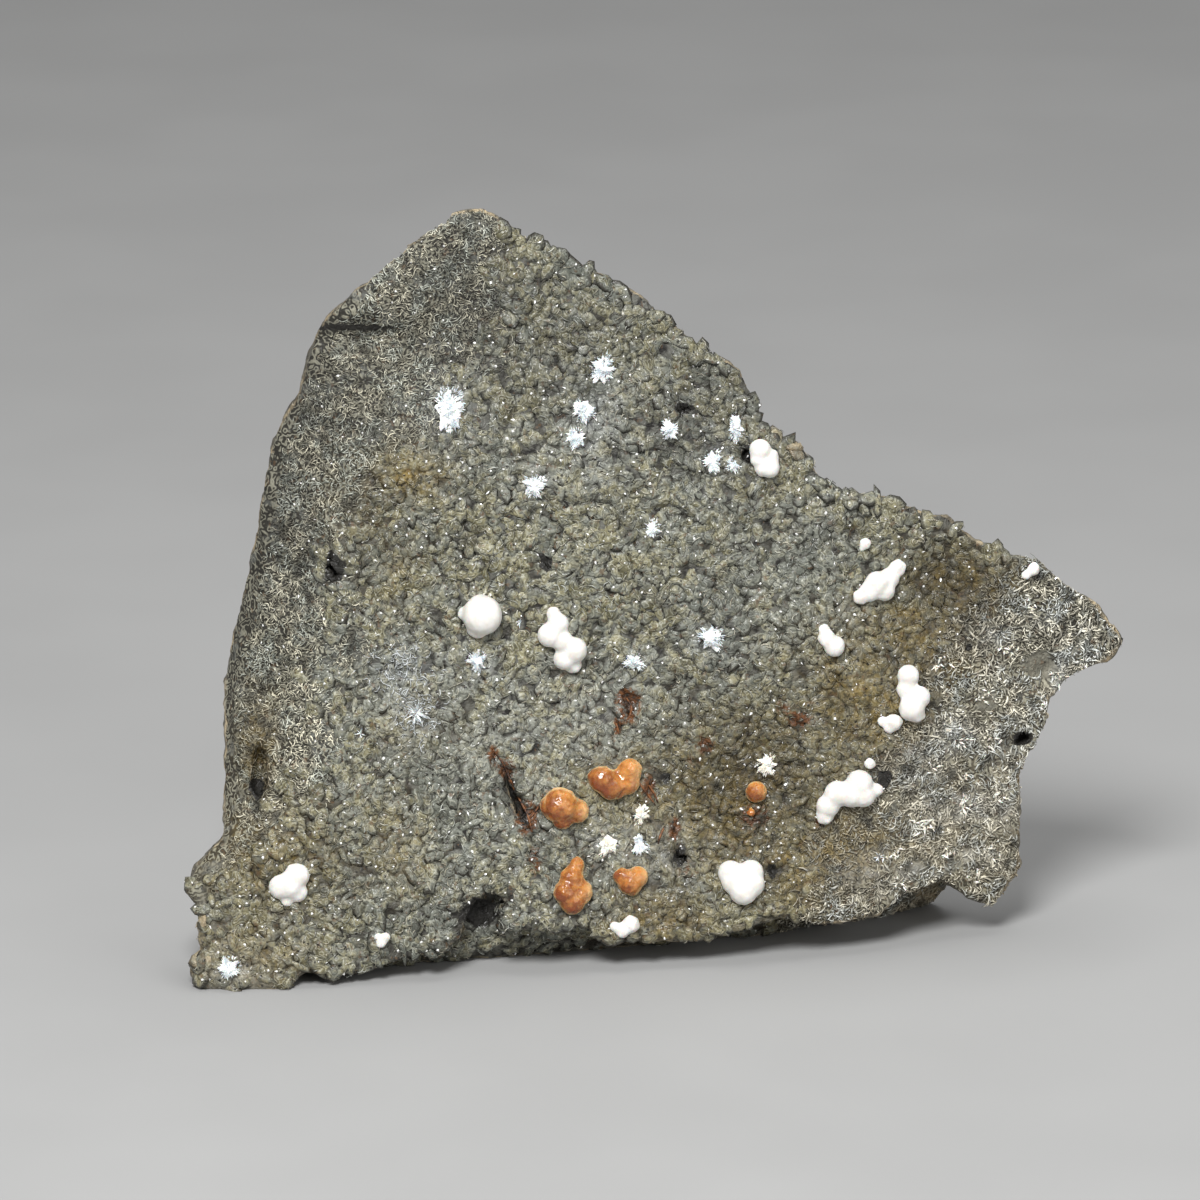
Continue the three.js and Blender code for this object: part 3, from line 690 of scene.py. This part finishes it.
knobs = grow(
    "knobs", rock, [knob_shape() for _ in range(KNOB_SHAPES)],
    Finish=pebble, Where="lining", Spacing=KNOB_SPACING * MM, Density=KNOB_TRIES / MM**2,
    Smallest=KNOB_SIZE[0], Largest=KNOB_SIZE[1], Tilt=0.32, Swirl=0.3, Turns=60.0, Seed=3,
)
at = coordinates(knobs.data)
pushes = [
    unevenness(at, [(height, size, seed + extra) for height, size, extra in KNOB_WAVES])
    for seed in (31, 32, 33)
]
move_to(knobs.data, at + np.stack(pushes, 1) * MM)
crest_of_knobs = fetch(knobs.data, "crest")
store(knobs.data, "bare", smoothstep(0.35, 0.8, crest_of_knobs))
across, up = seen_at(at)
store(knobs.data, "frosted", blotches(FROST, across, up) * smoothstep(0.1, 0.5, crest_of_knobs))


# The felt of needles
#
# Fine pale needles, bent into curls, cover the fractures at the left and right like felt and lie
# thinly between the knobs elsewhere. They grew on the rock.

NEEDLE_SHAPES = 8
NEEDLE_ARC = (0.9, 2.6)  # how far a needle bends, in radians
NEEDLE_CURL = (0.35, 0.8)  # its radius of curl, in millimetres
NEEDLE_LIFT = 0.16  # how high its middle lies, in millimetres
NEEDLE_CORNERS = [0.5 + third * 2 * math.pi / 3 for third in range(3)]


def needle_shape(thickness, straighten=1.0, widen=1.0):
    """A bent three-sided needle that tapers to both ends and lies on its side."""
    arc = rng.uniform(*NEEDLE_ARC) * straighten
    curl = rng.uniform(*NEEDLE_CURL) * widen / straighten
    verts, faces = [], []
    steps = np.linspace(-0.5, 0.5, 5)
    for k, step in enumerate(steps):
        angle = step * arc
        height = NEEDLE_LIFT - step * step
        middle = np.array([curl * math.sin(angle), curl * (math.cos(angle) - 1), height])
        out = np.array([math.sin(angle), math.cos(angle), 0])
        if k in (0, len(steps) - 1):
            verts.append(middle * MM)
            continue
        thick = thickness / 2 * (1.15 if k == 2 else 0.9)
        for turn in NEEDLE_CORNERS:
            raised = np.array([0, 0, thick * math.sin(turn)])
            verts.append((middle + out * thick * math.cos(turn) + raised) * MM)
    for side_number in range(3):
        after = (side_number + 1) % 3
        faces.append((0, 1 + after, 1 + side_number))
        for ring, above in ((1, 4), (4, 7)):
            faces.append((ring + side_number, ring + after, above + after, above + side_number))
        faces.append((10, 7 + side_number, 7 + after))
    crest = [np.clip(v[2] / MM / 0.2, 0, 1) for v in verts]
    return verts, faces, crest


def needle_bump(place, surface, strength):
    bump = place.make("Bump", Strength=strength, Distance=0.05 * MM, Height=cloud(place, 0.2, 1))
    plug_in(bump, surface, "Normal")


def needle_material(name, power, dim, bright, dim_blue, bright_blue):
    """Pale needles on dark ground: some bluish, painted darker at the foot as shade, and stained
    like the rock.
    """
    made, place, surface, reads = material(name, Roughness=0.5, Specular_IOR_Level=0.5)
    strength = reads("hue") ** power * cloud(place, 1.3, 2).ramp(0.35, 0.62, 0.35, 1.3)
    colour = strength.between(dim, bright)
    bluish = cloud(place, 3.0, 2).ramp(0.45, 0.6)
    colour = bluish.between(colour, strength.between(dim_blue, bright_blue))
    # Painted shade where the needles meet the rock.
    colour = reads("crest").ramp(0.6, 0.0, 0.0, 0.7).between(colour, (0.05, 0.047, 0.037))
    plug_in(weathered(colour, place, reads), surface, "Base Color")
    needle_bump(place, surface, 0.4)
    return made


grey_needles = needle_material(
    "grey needles", 1.05, dim=(0.09, 0.085, 0.062), bright=(0.96, 0.91, 0.71),
    dim_blue=(0.08, 0.088, 0.07), bright_blue=(0.76, 0.79, 0.69),
)
pale_needles = needle_material(
    "pale needles", 1.1, dim=(0.13, 0.12, 0.09), bright=(1.0, 0.95, 0.78),
    dim_blue=(0.13, 0.14, 0.125), bright_blue=(0.86, 0.89, 0.85),
)
dull_needles = needle_material(
    "dull needles", 1.8, dim=(0.14, 0.13, 0.09), bright=(0.62, 0.58, 0.46),
    dim_blue=(0.14, 0.15, 0.13), bright_blue=(0.58, 0.6, 0.55),
)
frost, place, surface, reads = material("frosty needles", Roughness=0.45, Specular_IOR_Level=0.5)
frosty = (reads("hue") ** 0.8).between((0.22, 0.235, 0.23), (0.7, 0.73, 0.74))
plug_in(frosty, surface, "Base Color")
needle_bump(place, surface, 0.3)

felt_left = grow(
    "felt_left", rock, [needle_shape(0.1, 0.9, 0.9) for _ in range(NEEDLE_SHAPES)],
    Finish=grey_needles, Where="matted_left", Spacing=0.15 * MM, Density=16 / MM**2,
    Smallest=0.6, Largest=1.3, Tilt=0.1, Swirl=0.45, Turns=22.0, Seed=5,
)
felt_right = grow(
    "felt_right", rock, [needle_shape(0.13, 0.6) for _ in range(NEEDLE_SHAPES)],
    Finish=pale_needles, Where="matted_right", Spacing=0.18 * MM, Density=12 / MM**2,
    Smallest=0.6, Largest=1.35, Tilt=0.14, Swirl=0.5, Turns=24.0, Seed=8,
)
long_felt = grow(
    "long_felt", rock, [needle_shape(0.17, 0.3, 1.1) for _ in range(NEEDLE_SHAPES)],
    Finish=pale_needles, Where="fibrous", Spacing=0.4 * MM, Density=2.5 / MM**2,
    Smallest=0.8, Largest=1.5, Tilt=0.12, Swirl=0.4, Turns=40.0, Seed=6,
)
curl_shapes = [needle_shape(0.08) for _ in range(NEEDLE_SHAPES)]
curls_on_knobs = grow(
    "curls_on_knobs", knobs, curl_shapes,
    Finish=dull_needles, Where="bare", Spacing=0.34 * MM, Density=3.8 / MM**2,
    Smallest=0.7, Largest=1.5, Tilt=0.12, Swirl=0.45, Turns=14.0, Seed=9,
)
hazy_needles = grow(
    "hazy_needles", knobs, curl_shapes,
    Finish=frost, Where="frosted", Spacing=0.14 * MM, Density=24 / MM**2,
    Smallest=0.6, Largest=1.5, Tilt=0.25, Swirl=0.5, Turns=20.0, Seed=12,
)


# The white balls and the rust-coloured balls
#
# Gonnardite, grown on the rock as balls of radiating needles so fine that their surface is smooth,
# like porcelain. Several balls that met grew into one body.

WHITE_VOXEL, RUSTY_VOXEL = 0.135, 0.11  # millimetres
WHITE_LUMPS, RUSTY_LUMPS = 0.03, 0.06  # how uneven their surface is, in millimetres
# A ball is swollen, softened and drawn in again, so that its lobes flow together; in millimetres.
WHITE_SWELL, RUSTY_SWELL = 0.3, 0.5
BALL_GAIN = 0.13  # the part of the swelling that is left, which closes the seat's clearance
BALL_SOFTENING = 12
FACET_SIZE = 0.45  # the rust-coloured balls show small crystal faces of this size, in millimetres


def ball_piece(node, voxel, lump_height, swell):
    piece = remeshed(node + "_surface", node, voxel)
    mesh = piece.data
    move_to(mesh, coordinates(mesh) + normals(mesh) * swell * MM)
    merge = piece.modifiers.new("merge", "REMESH")
    merge.mode = "VOXEL"
    merge.voxel_size = voxel * MM
    soften = piece.modifiers.new("soften", "SMOOTH")
    soften.iterations = BALL_SOFTENING
    bake(piece)
    mesh = piece.data
    at = coordinates(mesh)
    lumps = lump_height * (wobble(at, 1.1, 11) + 0.5 * wobble(at, 0.5, 12)) - (swell - BALL_GAIN)
    move_to(mesh, at + normals(mesh) * (lumps * MM)[:, None])
    mesh.shade_smooth()
    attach(piece, "root")
    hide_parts(node)
    return piece


porcelain, place, surface, reads = material(
    "white gonnardite", Roughness=0.45, Subsurface_Weight=0.25, Subsurface_Scale=0.5 * MM,
    Specular_IOR_Level=0.4,
)
mottle = cloud(place, 1.2, 3)
white = mottle.ramp(0.35, 0.7).between((0.7, 0.68, 0.63), (0.79, 0.78, 0.755))
plug_in(white, surface, "Base Color")
bump = place.make("Bump", Strength=0.35, Distance=0.06 * MM, Height=cloud(place, 0.3, 3))
plug_in(bump, surface, "Normal")

rusty, place, surface, reads = material(
    "rusty gonnardite", Subsurface_Weight=0.3, Subsurface_Scale=0.5 * MM, Specular_IOR_Level=0.7
)
mottle = cloud(place, 0.9, 4)
# Lighter towards the top and right of each ball.
ripe = reads("ripe") + mottle.ramp(0.3, 0.7, -0.27, 0.22)
orange = ripe.ramp(0.1, 0.95).between((0.2, 0.05, 0.011), (0.52, 0.22, 0.052))
# Paler at the right end, and painted rim light: a translucent glow along the outline seen from the
# camera.
worn = reads("worn") * mottle.ramp(0.35, 0.6, 0.6, 1.0)
orange = worn.between(orange, (0.85, 0.6, 0.3))
plug_in(orange, surface, "Base Color")
plug_in(cloud(place, 0.5, 2).ramp(0.35, 0.65, 0.08, 0.4), surface, "Roughness")
facets = place.make("TexVoronoi", Vector=place, Scale=1 / FACET_SIZE)
relief = facets * cloud(place, 1.2, 1).ramp(0.4, 0.6) + cloud(place, 0.25, 2) * 0.35
plug_in(place.make("Bump", Strength=0.65, Distance=0.14 * MM, Height=relief), surface, "Normal")

for node in sorted(frame["nodes"]):
    if node.startswith("white_ball"):
        piece = ball_piece(node, WHITE_VOXEL, WHITE_LUMPS, WHITE_SWELL)
        piece.data.materials.append(porcelain)
    if node.startswith("rusty_ball"):
        piece = ball_piece(node, RUSTY_VOXEL, RUSTY_LUMPS, RUSTY_SWELL)
        mesh = piece.data
        low, high = (np.array(corner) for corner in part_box(node))
        share = (coordinates(mesh) - low) / (high - low)
        turned_away = 1 - normals(mesh) @ TO_CAMERA
        # How far towards the top and right of its ball each vertex lies.
        store(mesh, "ripe", 0.5 * share[:, 0] + 0.5 * share[:, 2])
        # Painted rim light where the surface turns from the camera, and a paler right end.
        right_end = smoothstep(0.75, 1, share[:, 0]) * 0.5
        store(mesh, "worn", np.maximum(right_end, smoothstep(0.4, 0.85, turned_away)))
        mesh.materials.append(rusty)


# The white sprays
#
# Clumps of white needles that grew on the rock, flatter than the balls: a solid white heart with
# ragged arms that lie on the knobs. Small stars, and pale tangles on the right, have no heart.

SPRAY_HEART_VOXEL = 0.15  # millimetres
SPRAY_HEART_RAGGED, SPRAY_HEART_LUMP = 0.2, 0.45
SPRAY_HEART_SHRINK = 0.03
SPRAY_NEEDLE_LENGTH = (0.35, 0.8)
SPRAY_NEEDLE_WIDTH = (0.16, 0.36)
SPRAY_ARMS = 3
SPRAY_ARM_STEP = 2.1  # the angle from arm to arm, in radians
SPRAY_ARM_SHARE = 0.75  # this part of the needles lies in the arms
SPRAY_FAN = 0.38  # how widely the needles of an arm fan out, in radians
SPRAY_PER_AREA = 28  # needles for each square millimetre of the spray's box

# Small stars of thin needles, and tangles of thicker ones: (across, up, radius, needles).
STARS = [
    (-25.8, 29.8, 1.7, 46), (-31.7, 27.6, 1.0, 12), (-14.8, 39.5, 0.8, 16), (23.9, 14.2, 0.9, 12),
]
TANGLES = [
    (31.5, 28, 1.1, 12), (33, 26.8, 0.9, 10), (36.2, 26, 1.2, 8), (29.8, 23.7, 1.2, 8),
    (32.8, 19.8, 1.4, 18), (28.6, 17.8, 1.5, 16), (31, 14.5, 1.1, 12), (43.6, 33.2, 0.9, 14),
    (46.2, 34.7, 0.7, 10), (36.6, 15, 1.1, 10), (34.5, 11.8, 0.9, 9), (30.6, 35.2, 1.1, 9),
    (35.4, 31.8, 0.9, 8), (37.8, 36.8, 1.0, 9), (36.9, 20.6, 0.9, 9), (25.4, 14.2, 1.1, 10),
    (40.4, 41.3, 0.9, 8), (33.5, 23, 0.8, 8), (26.6, 11.4, 0.9, 10), (41.7, 31, 0.7, 9),
]
STAR_NEEDLE_WIDTH = 0.11
TANGLE_NEEDLE_WIDTH = 0.24
TANGLE_SPREAD = 0.45
NEEDLE_WAIST = 0.45  # where a needle is thickest, as a share of its length


def crystals(roots, directions, lengths, widths):
    """Slim four-sided crystals, pointed at both ends: (vertices, faces)."""
    helper = np.where(np.abs(directions[:, 2:3]) < 0.9, [[0, 0, 1.0]], [[1.0, 0, 0]])
    first = np.cross(directions, helper)
    first /= np.linalg.norm(first, axis=1)[:, None]
    second = np.cross(directions, first)
    waist = roots + directions * (lengths * NEEDLE_WAIST)[:, None]
    corners = [
        waist + (first * c + second * s) * widths[:, None] / 2
        for c, s in ((1, 0), (0, 1), (-1, 0), (0, -1))
    ]
    tips = roots + directions * lengths[:, None]
    verts = np.stack([roots, *corners, tips], axis=1).reshape(-1, 3)
    faces = []
    for k in range(len(roots)):
        base = 6 * k
        for a in range(4):
            here, following = base + 1 + a, base + 1 + (a + 1) % 4
            faces += [(base, following, here), (base + 5, here, following)]
    return verts, faces


def mesh_piece(name, parts, finish):
    """One piece joined from parts, each (vertices, faces)."""
    verts, faces = [], []
    for part_verts, part_faces in parts:
        start = sum(len(v) for v in verts)
        faces += [tuple(start + corner for corner in face) for face in part_faces]
        verts.append(part_verts)
    mesh = bpy.data.meshes.new(name)
    mesh.from_pydata(np.concatenate(verts).tolist(), [], faces)
    mesh.materials.append(finish)
    piece = link(name, mesh)
    move_to(mesh, coordinates(mesh))
    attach(piece, "root")
    return piece


def tree_of(parts):
    """A search tree over parts, each (vertices, faces)."""
    verts, faces = [], []
    for part_verts, part_faces in parts:
        start = len(verts)
        faces += [tuple(start + corner for corner in face) for face in part_faces]
        verts += [Vector(v) for v in part_verts]
    return bvhtree.BVHTree.FromPolygons(verts, faces)


def parts_of(mesh):
    """The mesh as (vertices, faces)."""
    return coordinates(mesh), [tuple(p.vertices) for p in mesh.polygons]


def first_hit(trees, start, way):
    """Where a line first meets any of the surfaces: (place, normal), or (None, None)."""
    hits = [tree.ray_cast(start, way, 100 * MM) for tree in trees]
    hits = [hit for hit in hits if hit[0] is not None]
    return min(hits, key=lambda hit: hit[3])[:2] if hits else (None, None)


def seen_spot(tree, x, up_the_view):
    """The place on the surface that the camera sees at (across, up)."""
    height = (up_the_view + FOOT_DEPTH * SIGHT_SIN) / SIGHT_COS
    start = Vector((x, -2 * FOOT_DEPTH, height)) * MM
    return first_hit([tree], start, Vector(-TO_CAMERA))[0]


def spray_material(name, shade, light):
    made, place, surface, reads = material(
        name, Roughness=0.4, Subsurface_Weight=0.15, Subsurface_Scale=0.2 * MM,
        Specular_IOR_Level=0.5,
    )
    plug_in(cloud(place, 0.8, 3).ramp(0.35, 0.6).between(shade, light), surface, "Base Color")
    needle_bump(place, surface, 0.4)
    return made


silk = spray_material("white sprays", (0.5, 0.54, 0.57), (0.88, 0.88, 0.87))
cream = spray_material("cream sprays", (0.8, 0.73, 0.6), (0.9, 0.88, 0.82))
lining_tree = tree_of([parts_of(rock.data), parts_of(knobs.data)])


def lying_needles(trees, middle, reach, count, arms):
    """Needles that lie on a surface: (roots, directions, shares of the way outwards)."""
    roots, directions, shares = [], [], []
    for _ in range(count):
        if rng.random() < SPRAY_ARM_SHARE:
            angle = rng.choice(arms) + rng.normal(0, SPRAY_FAN)
            share = rng.uniform(0.1, 0.9)
        else:
            angle = rng.uniform(0, 2 * math.pi)
            share = 0.5 * math.sqrt(rng.random())
        way_out = Vector((math.cos(angle), 0, math.sin(angle)))
        spot = middle + reach * np.array(way_out) * share
        start = Vector((spot[0], middle[1] - 8 * MM, spot[2]))
        hit, normal = first_hit(trees, start, Vector((0, 1, 0)))
        if hit is None:
            continue
        wanted = way_out + Vector(rng.normal(0, 0.22, 3))
        lie = wanted - normal * wanted.dot(normal)
        way = (lie.normalized() + normal * rng.uniform(0.0, 0.3)).normalized()
        roots.append(hit - normal * 0.05 * MM - way * 0.2 * MM)
        directions.append(way)
        shares.append(share)
    return np.array(roots), np.array(directions), np.array(shares)


for node in sorted(n for n in frame["nodes"] if n.startswith("white_spray")):
    heart = remeshed(node + "_heart", node, SPRAY_HEART_VOXEL)
    at = coordinates(heart.data)
    ragged = SPRAY_HEART_RAGGED * wobble(at, SPRAY_HEART_LUMP, 21) - SPRAY_HEART_SHRINK
    move_to(heart.data, at + normals(heart.data) * (ragged * MM)[:, None])
    heart_parts = parts_of(heart.data)
    bpy.data.objects.remove(heart)
    low, high = (np.array(corner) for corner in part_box(node))
    reach = (high - low) / 2
    count = int(60 + SPRAY_PER_AREA * reach[0] * reach[2] * 4 / MM**2)
    arms = rng.uniform(0, 2 * math.pi) + np.arange(SPRAY_ARMS) * SPRAY_ARM_STEP
    arms += rng.normal(0, 0.35, SPRAY_ARMS)
    trees = [lining_tree, tree_of([heart_parts])]
    roots, directions, shares = lying_needles(trees, (low + high) / 2, reach, count, arms)
    lengths = rng.uniform(*SPRAY_NEEDLE_LENGTH, len(roots)) * MM
    widths = rng.uniform(*SPRAY_NEEDLE_WIDTH, len(roots)) * (1.1 - 0.45 * shares) * MM
    creamy = node.startswith("white_spray_cream") and not node.endswith("blue")
    parts = [heart_parts, crystals(roots, directions, lengths, widths)]
    piece = mesh_piece(node + "_needles", parts, cream if creamy else silk)
    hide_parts(node)


def star_part(star, spread, width):
    """Thin needles that point out of one small area: (vertices, faces)."""
    x, up_the_view, radius, count = star
    roots, ways = [], []
    for angle in rng.uniform(0, 2 * math.pi, count):
        shift = rng.normal(0, spread, 2)
        root = seen_spot(lining_tree, x + shift[0], up_the_view + shift[1])
        if root is not None:
            way = Vector((math.cos(angle), -rng.uniform(0.15, 0.7), math.sin(angle)))
            roots.append(root)
            ways.append(way.normalized())
    lengths = radius * rng.uniform(0.35, 1.0, len(roots)) * MM
    return crystals(np.array(roots), np.array(ways), lengths, np.full(len(roots), width * MM))


star_parts = [star_part(star, 0.0, STAR_NEEDLE_WIDTH) for star in STARS]
mesh_piece("small_stars", star_parts, silk)
tangle_parts = [star_part(star, TANGLE_SPREAD, TANGLE_NEEDLE_WIDTH) for star in TANGLES]
mesh_piece("pale_tangles", tangle_parts, cream)


# Rust-brown threads
#
# Thin rusty threads, like rootlets, that lie on the knobs beside the rust-coloured balls.

THREAD_RADIUS = 0.13  # millimetres
THREAD_SIDES = 5
THREAD_LIFT = 0.6  # how far its middle lies above the knobs, as a share of its radius
THREADS = [  # bends as (across, up)
    [(-2.2, 22.7), (-1.4, 21.5), (-0.7, 20.6), (-0.2, 19.9)],
    [(-0.9, 22), (-0.3, 21.1), (0.1, 20.1)],
    [(0.8, 17.6), (0.3, 16.5), (0.1, 15.7)],
    [(-17.6, 25.9), (-16.6, 24.5), (-16, 23.2), (-15.4, 21.9)],
    [(-15.9, 22.6), (-14.6, 20.2), (-13.9, 18.9), (-13.4, 17)],
    [(-12, 21), (-12.8, 19.6), (-13.6, 18.6)],
    [(-3.3, 31.4), (-2.7, 30.4), (-3, 29.3)],
    [(-4.4, 28.7), (-4.1, 27.5)],
]


def thread_part(bends):
    """A tube through the bends, laid on the knobs: (vertices, faces)."""
    steps = np.linspace(0, len(bends) - 1, 4 * len(bends))
    line = [np.interp(steps, range(len(bends)), values) for values in zip(*bends)]
    path = [np.array(seen_spot(lining_tree, x, up_the_view)) for x, up_the_view in zip(*line)]
    path = np.array(path) + TO_CAMERA * THREAD_RADIUS * THREAD_LIFT * MM
    path[1:-1] = (path[:-2] + 2 * path[1:-1] + path[2:]) / 4
    along = np.gradient(path, axis=0)
    along /= np.linalg.norm(along, axis=1)[:, None]
    first = np.cross(along, TO_CAMERA)
    first /= np.linalg.norm(first, axis=1)[:, None]
    second = np.cross(along, first)
    thick = THREAD_RADIUS * MM * np.sin(np.linspace(0.25, math.pi - 0.25, len(path))) ** 0.5
    turns = np.arange(THREAD_SIDES) * 2 * math.pi / THREAD_SIDES
    rings = [path + (first * math.cos(t) + second * math.sin(t)) * thick[:, None] for t in turns]
    verts = np.stack(rings, axis=1).reshape(-1, 3)
    faces = []
    for k in range(len(path) - 1):
        for a in range(THREAD_SIDES):
            here = k * THREAD_SIDES + a
            following = k * THREAD_SIDES + (a + 1) % THREAD_SIDES
            faces.append((here, following, following + THREAD_SIDES, here + THREAD_SIDES))
    faces.append(tuple(range(THREAD_SIDES))[::-1])
    faces.append(tuple(len(verts) - THREAD_SIDES + a for a in range(THREAD_SIDES)))
    return verts, faces


bark, place, surface, reads = material("rusty threads", Roughness=0.55)
brown = cloud(place, 0.5, 2).ramp(0.35, 0.65).between((0.025, 0.008, 0.003), (0.2, 0.075, 0.022))
plug_in(brown, surface, "Base Color")
threads = mesh_piece("rusty_threads", [thread_part(bends) for bends in THREADS], bark)
threads.data.shade_smooth()


# Clear crystals and painted glints
#
# Tiny glassy crystals that sit on the knobs and on the felt and catch the light. Their near-white
# colour is partly painted glint.

GLINT_RADIUS = 0.17  # millimetres
GLINT_STRETCH = (0.8, 1.7)
GLINT_LIFT = 0.4  # how far its middle lies above the surface, in radii
GLINT_SHAPES = 4


def glint_shape():
    """A small eight-faced crystal."""
    tip = rng.uniform(*GLINT_STRETCH)
    verts = np.array([(1, 0, 0), (0, 1, 0), (-1, 0, 0), (0, -1, 0), (0, 0, tip), (0, 0, -tip)])
    verts = verts * GLINT_RADIUS * MM + np.array([0, 0, GLINT_RADIUS * GLINT_LIFT * MM])
    faces = [(0, 1, 4), (1, 2, 4), (2, 3, 4), (3, 0, 4), (1, 0, 5), (2, 1, 5), (3, 2, 5), (0, 3, 5)]
    return verts, faces, np.ones(6)


glint_white, place, surface, reads = material("clear crystals", Roughness=0.15, Specular_IOR_Level=0.8)
# Near white: partly the crystals' own colour, partly painted glint.
plug_in((reads("hue") ** 0.5).between((0.7, 0.69, 0.65), (0.99, 0.99, 0.98)), surface, "Base Color")
plug_in(cloud(place, 0.3, 1).ramp(0.3, 0.7, 0.08, 0.3), surface, "Roughness")
glints = grow(
    "clear_crystals", knobs, [glint_shape() for _ in range(GLINT_SHAPES)],
    Finish=glint_white, Where="crest", Spacing=0.7 * MM, Density=0.9 / MM**2,
    Smallest=0.4, Largest=1.15, Tilt=1.5, Swirl=0.5, Turns=60.0, Seed=15,
)
felt_glints = [
    grow(
        "clear_crystals_" + where, rock, [glint_shape() for _ in range(GLINT_SHAPES)],
        Finish=glint_white, Where=where, Spacing=0.9 * MM, Density=0.4 / MM**2,
        Smallest=0.4, Largest=1.0, Tilt=1.5, Swirl=0.5, Turns=60.0, Seed=17,
    )
    for where in ("matted_left", "matted_right")
]
for piece in (glints, *felt_glints):
    piece.data.shade_flat()


# The studio
#
# A plain pale floor, which the rock stands on, soft light from above and in front, and a camera.

FLOOR = 2  # half the floor's width, in metres
floor_corners = [(-FLOOR, -FLOOR, 0), (FLOOR, -FLOOR, 0), (FLOOR, FLOOR, 0), (-FLOOR, FLOOR, 0)]
floor_mesh = bpy.data.meshes.new("floor")
floor_mesh.from_pydata(floor_corners, [], [(0, 1, 2, 3)])
floor = link("floor", floor_mesh)
paper, place, surface, reads = material("paper", Roughness=0.9)
grey = cloud(place, 40, 2).ramp(0.3, 0.7).between((0.315, 0.315, 0.312), (0.33, 0.33, 0.327))
plug_in(grey, surface, "Base Color")
floor_mesh.materials.append(paper)


def soft_light(name, position, size, power):
    """A round lamp, in metres and watts, that points at the specimen's middle."""
    data = bpy.data.lights.new(name, "AREA")
    data.shape = "DISK"
    data.size, data.energy = size, power
    lamp = link(name, data)
    lamp.location = position
    sight = Vector((0, 0, 0.03)) - Vector(position)
    lamp.rotation_euler = sight.to_track_quat("-Z", "Y").to_euler()


soft_light("key", (-0.1, -0.45, 0.52), size=0.25, power=6)
soft_light("top", (0.05, 0.1, 0.6), size=0.4, power=1.5)
soft_light("fill", (0.5, -0.5, 0.25), size=0.5, power=1.2)
world = bpy.data.worlds.new("room")
world.use_nodes = True
background = world.node_tree.nodes["Background"]
background.inputs["Color"].default_value = (1, 1, 1, 1)
background.inputs["Strength"].default_value = 0.25
scene.world = world
scene.view_settings.view_transform = "Standard"

# The camera: a long lens, so that the specimen fills the frame as in the photograph.
PHOTO_WIDTH = 128.4  # what the frame's width shows, in millimetres
PHOTO_MIDDLE = (-6.15, 41.9)  # the place (across, up) in its middle
LENS, SENSOR = 300, 36
FACE_DEPTH = -3.0  # the camera points at this depth, in millimetres
camera_data = bpy.data.cameras.new("camera")
camera_data.lens, camera_data.sensor_width = LENS, SENSOR
camera_data.clip_end = 10
camera = link("camera", camera_data)
middle_up = (PHOTO_MIDDLE[1] - (FACE_DEPTH + FOOT_DEPTH) * SIGHT_SIN) / SIGHT_COS
target = Vector((PHOTO_MIDDLE[0], FACE_DEPTH, middle_up)) * MM
camera.location = target + Vector(TO_CAMERA) * (PHOTO_WIDTH * MM * LENS / SENSOR)
camera.rotation_euler = (math.pi / 2 - SIGHT, 0, 0)
scene.camera = camera
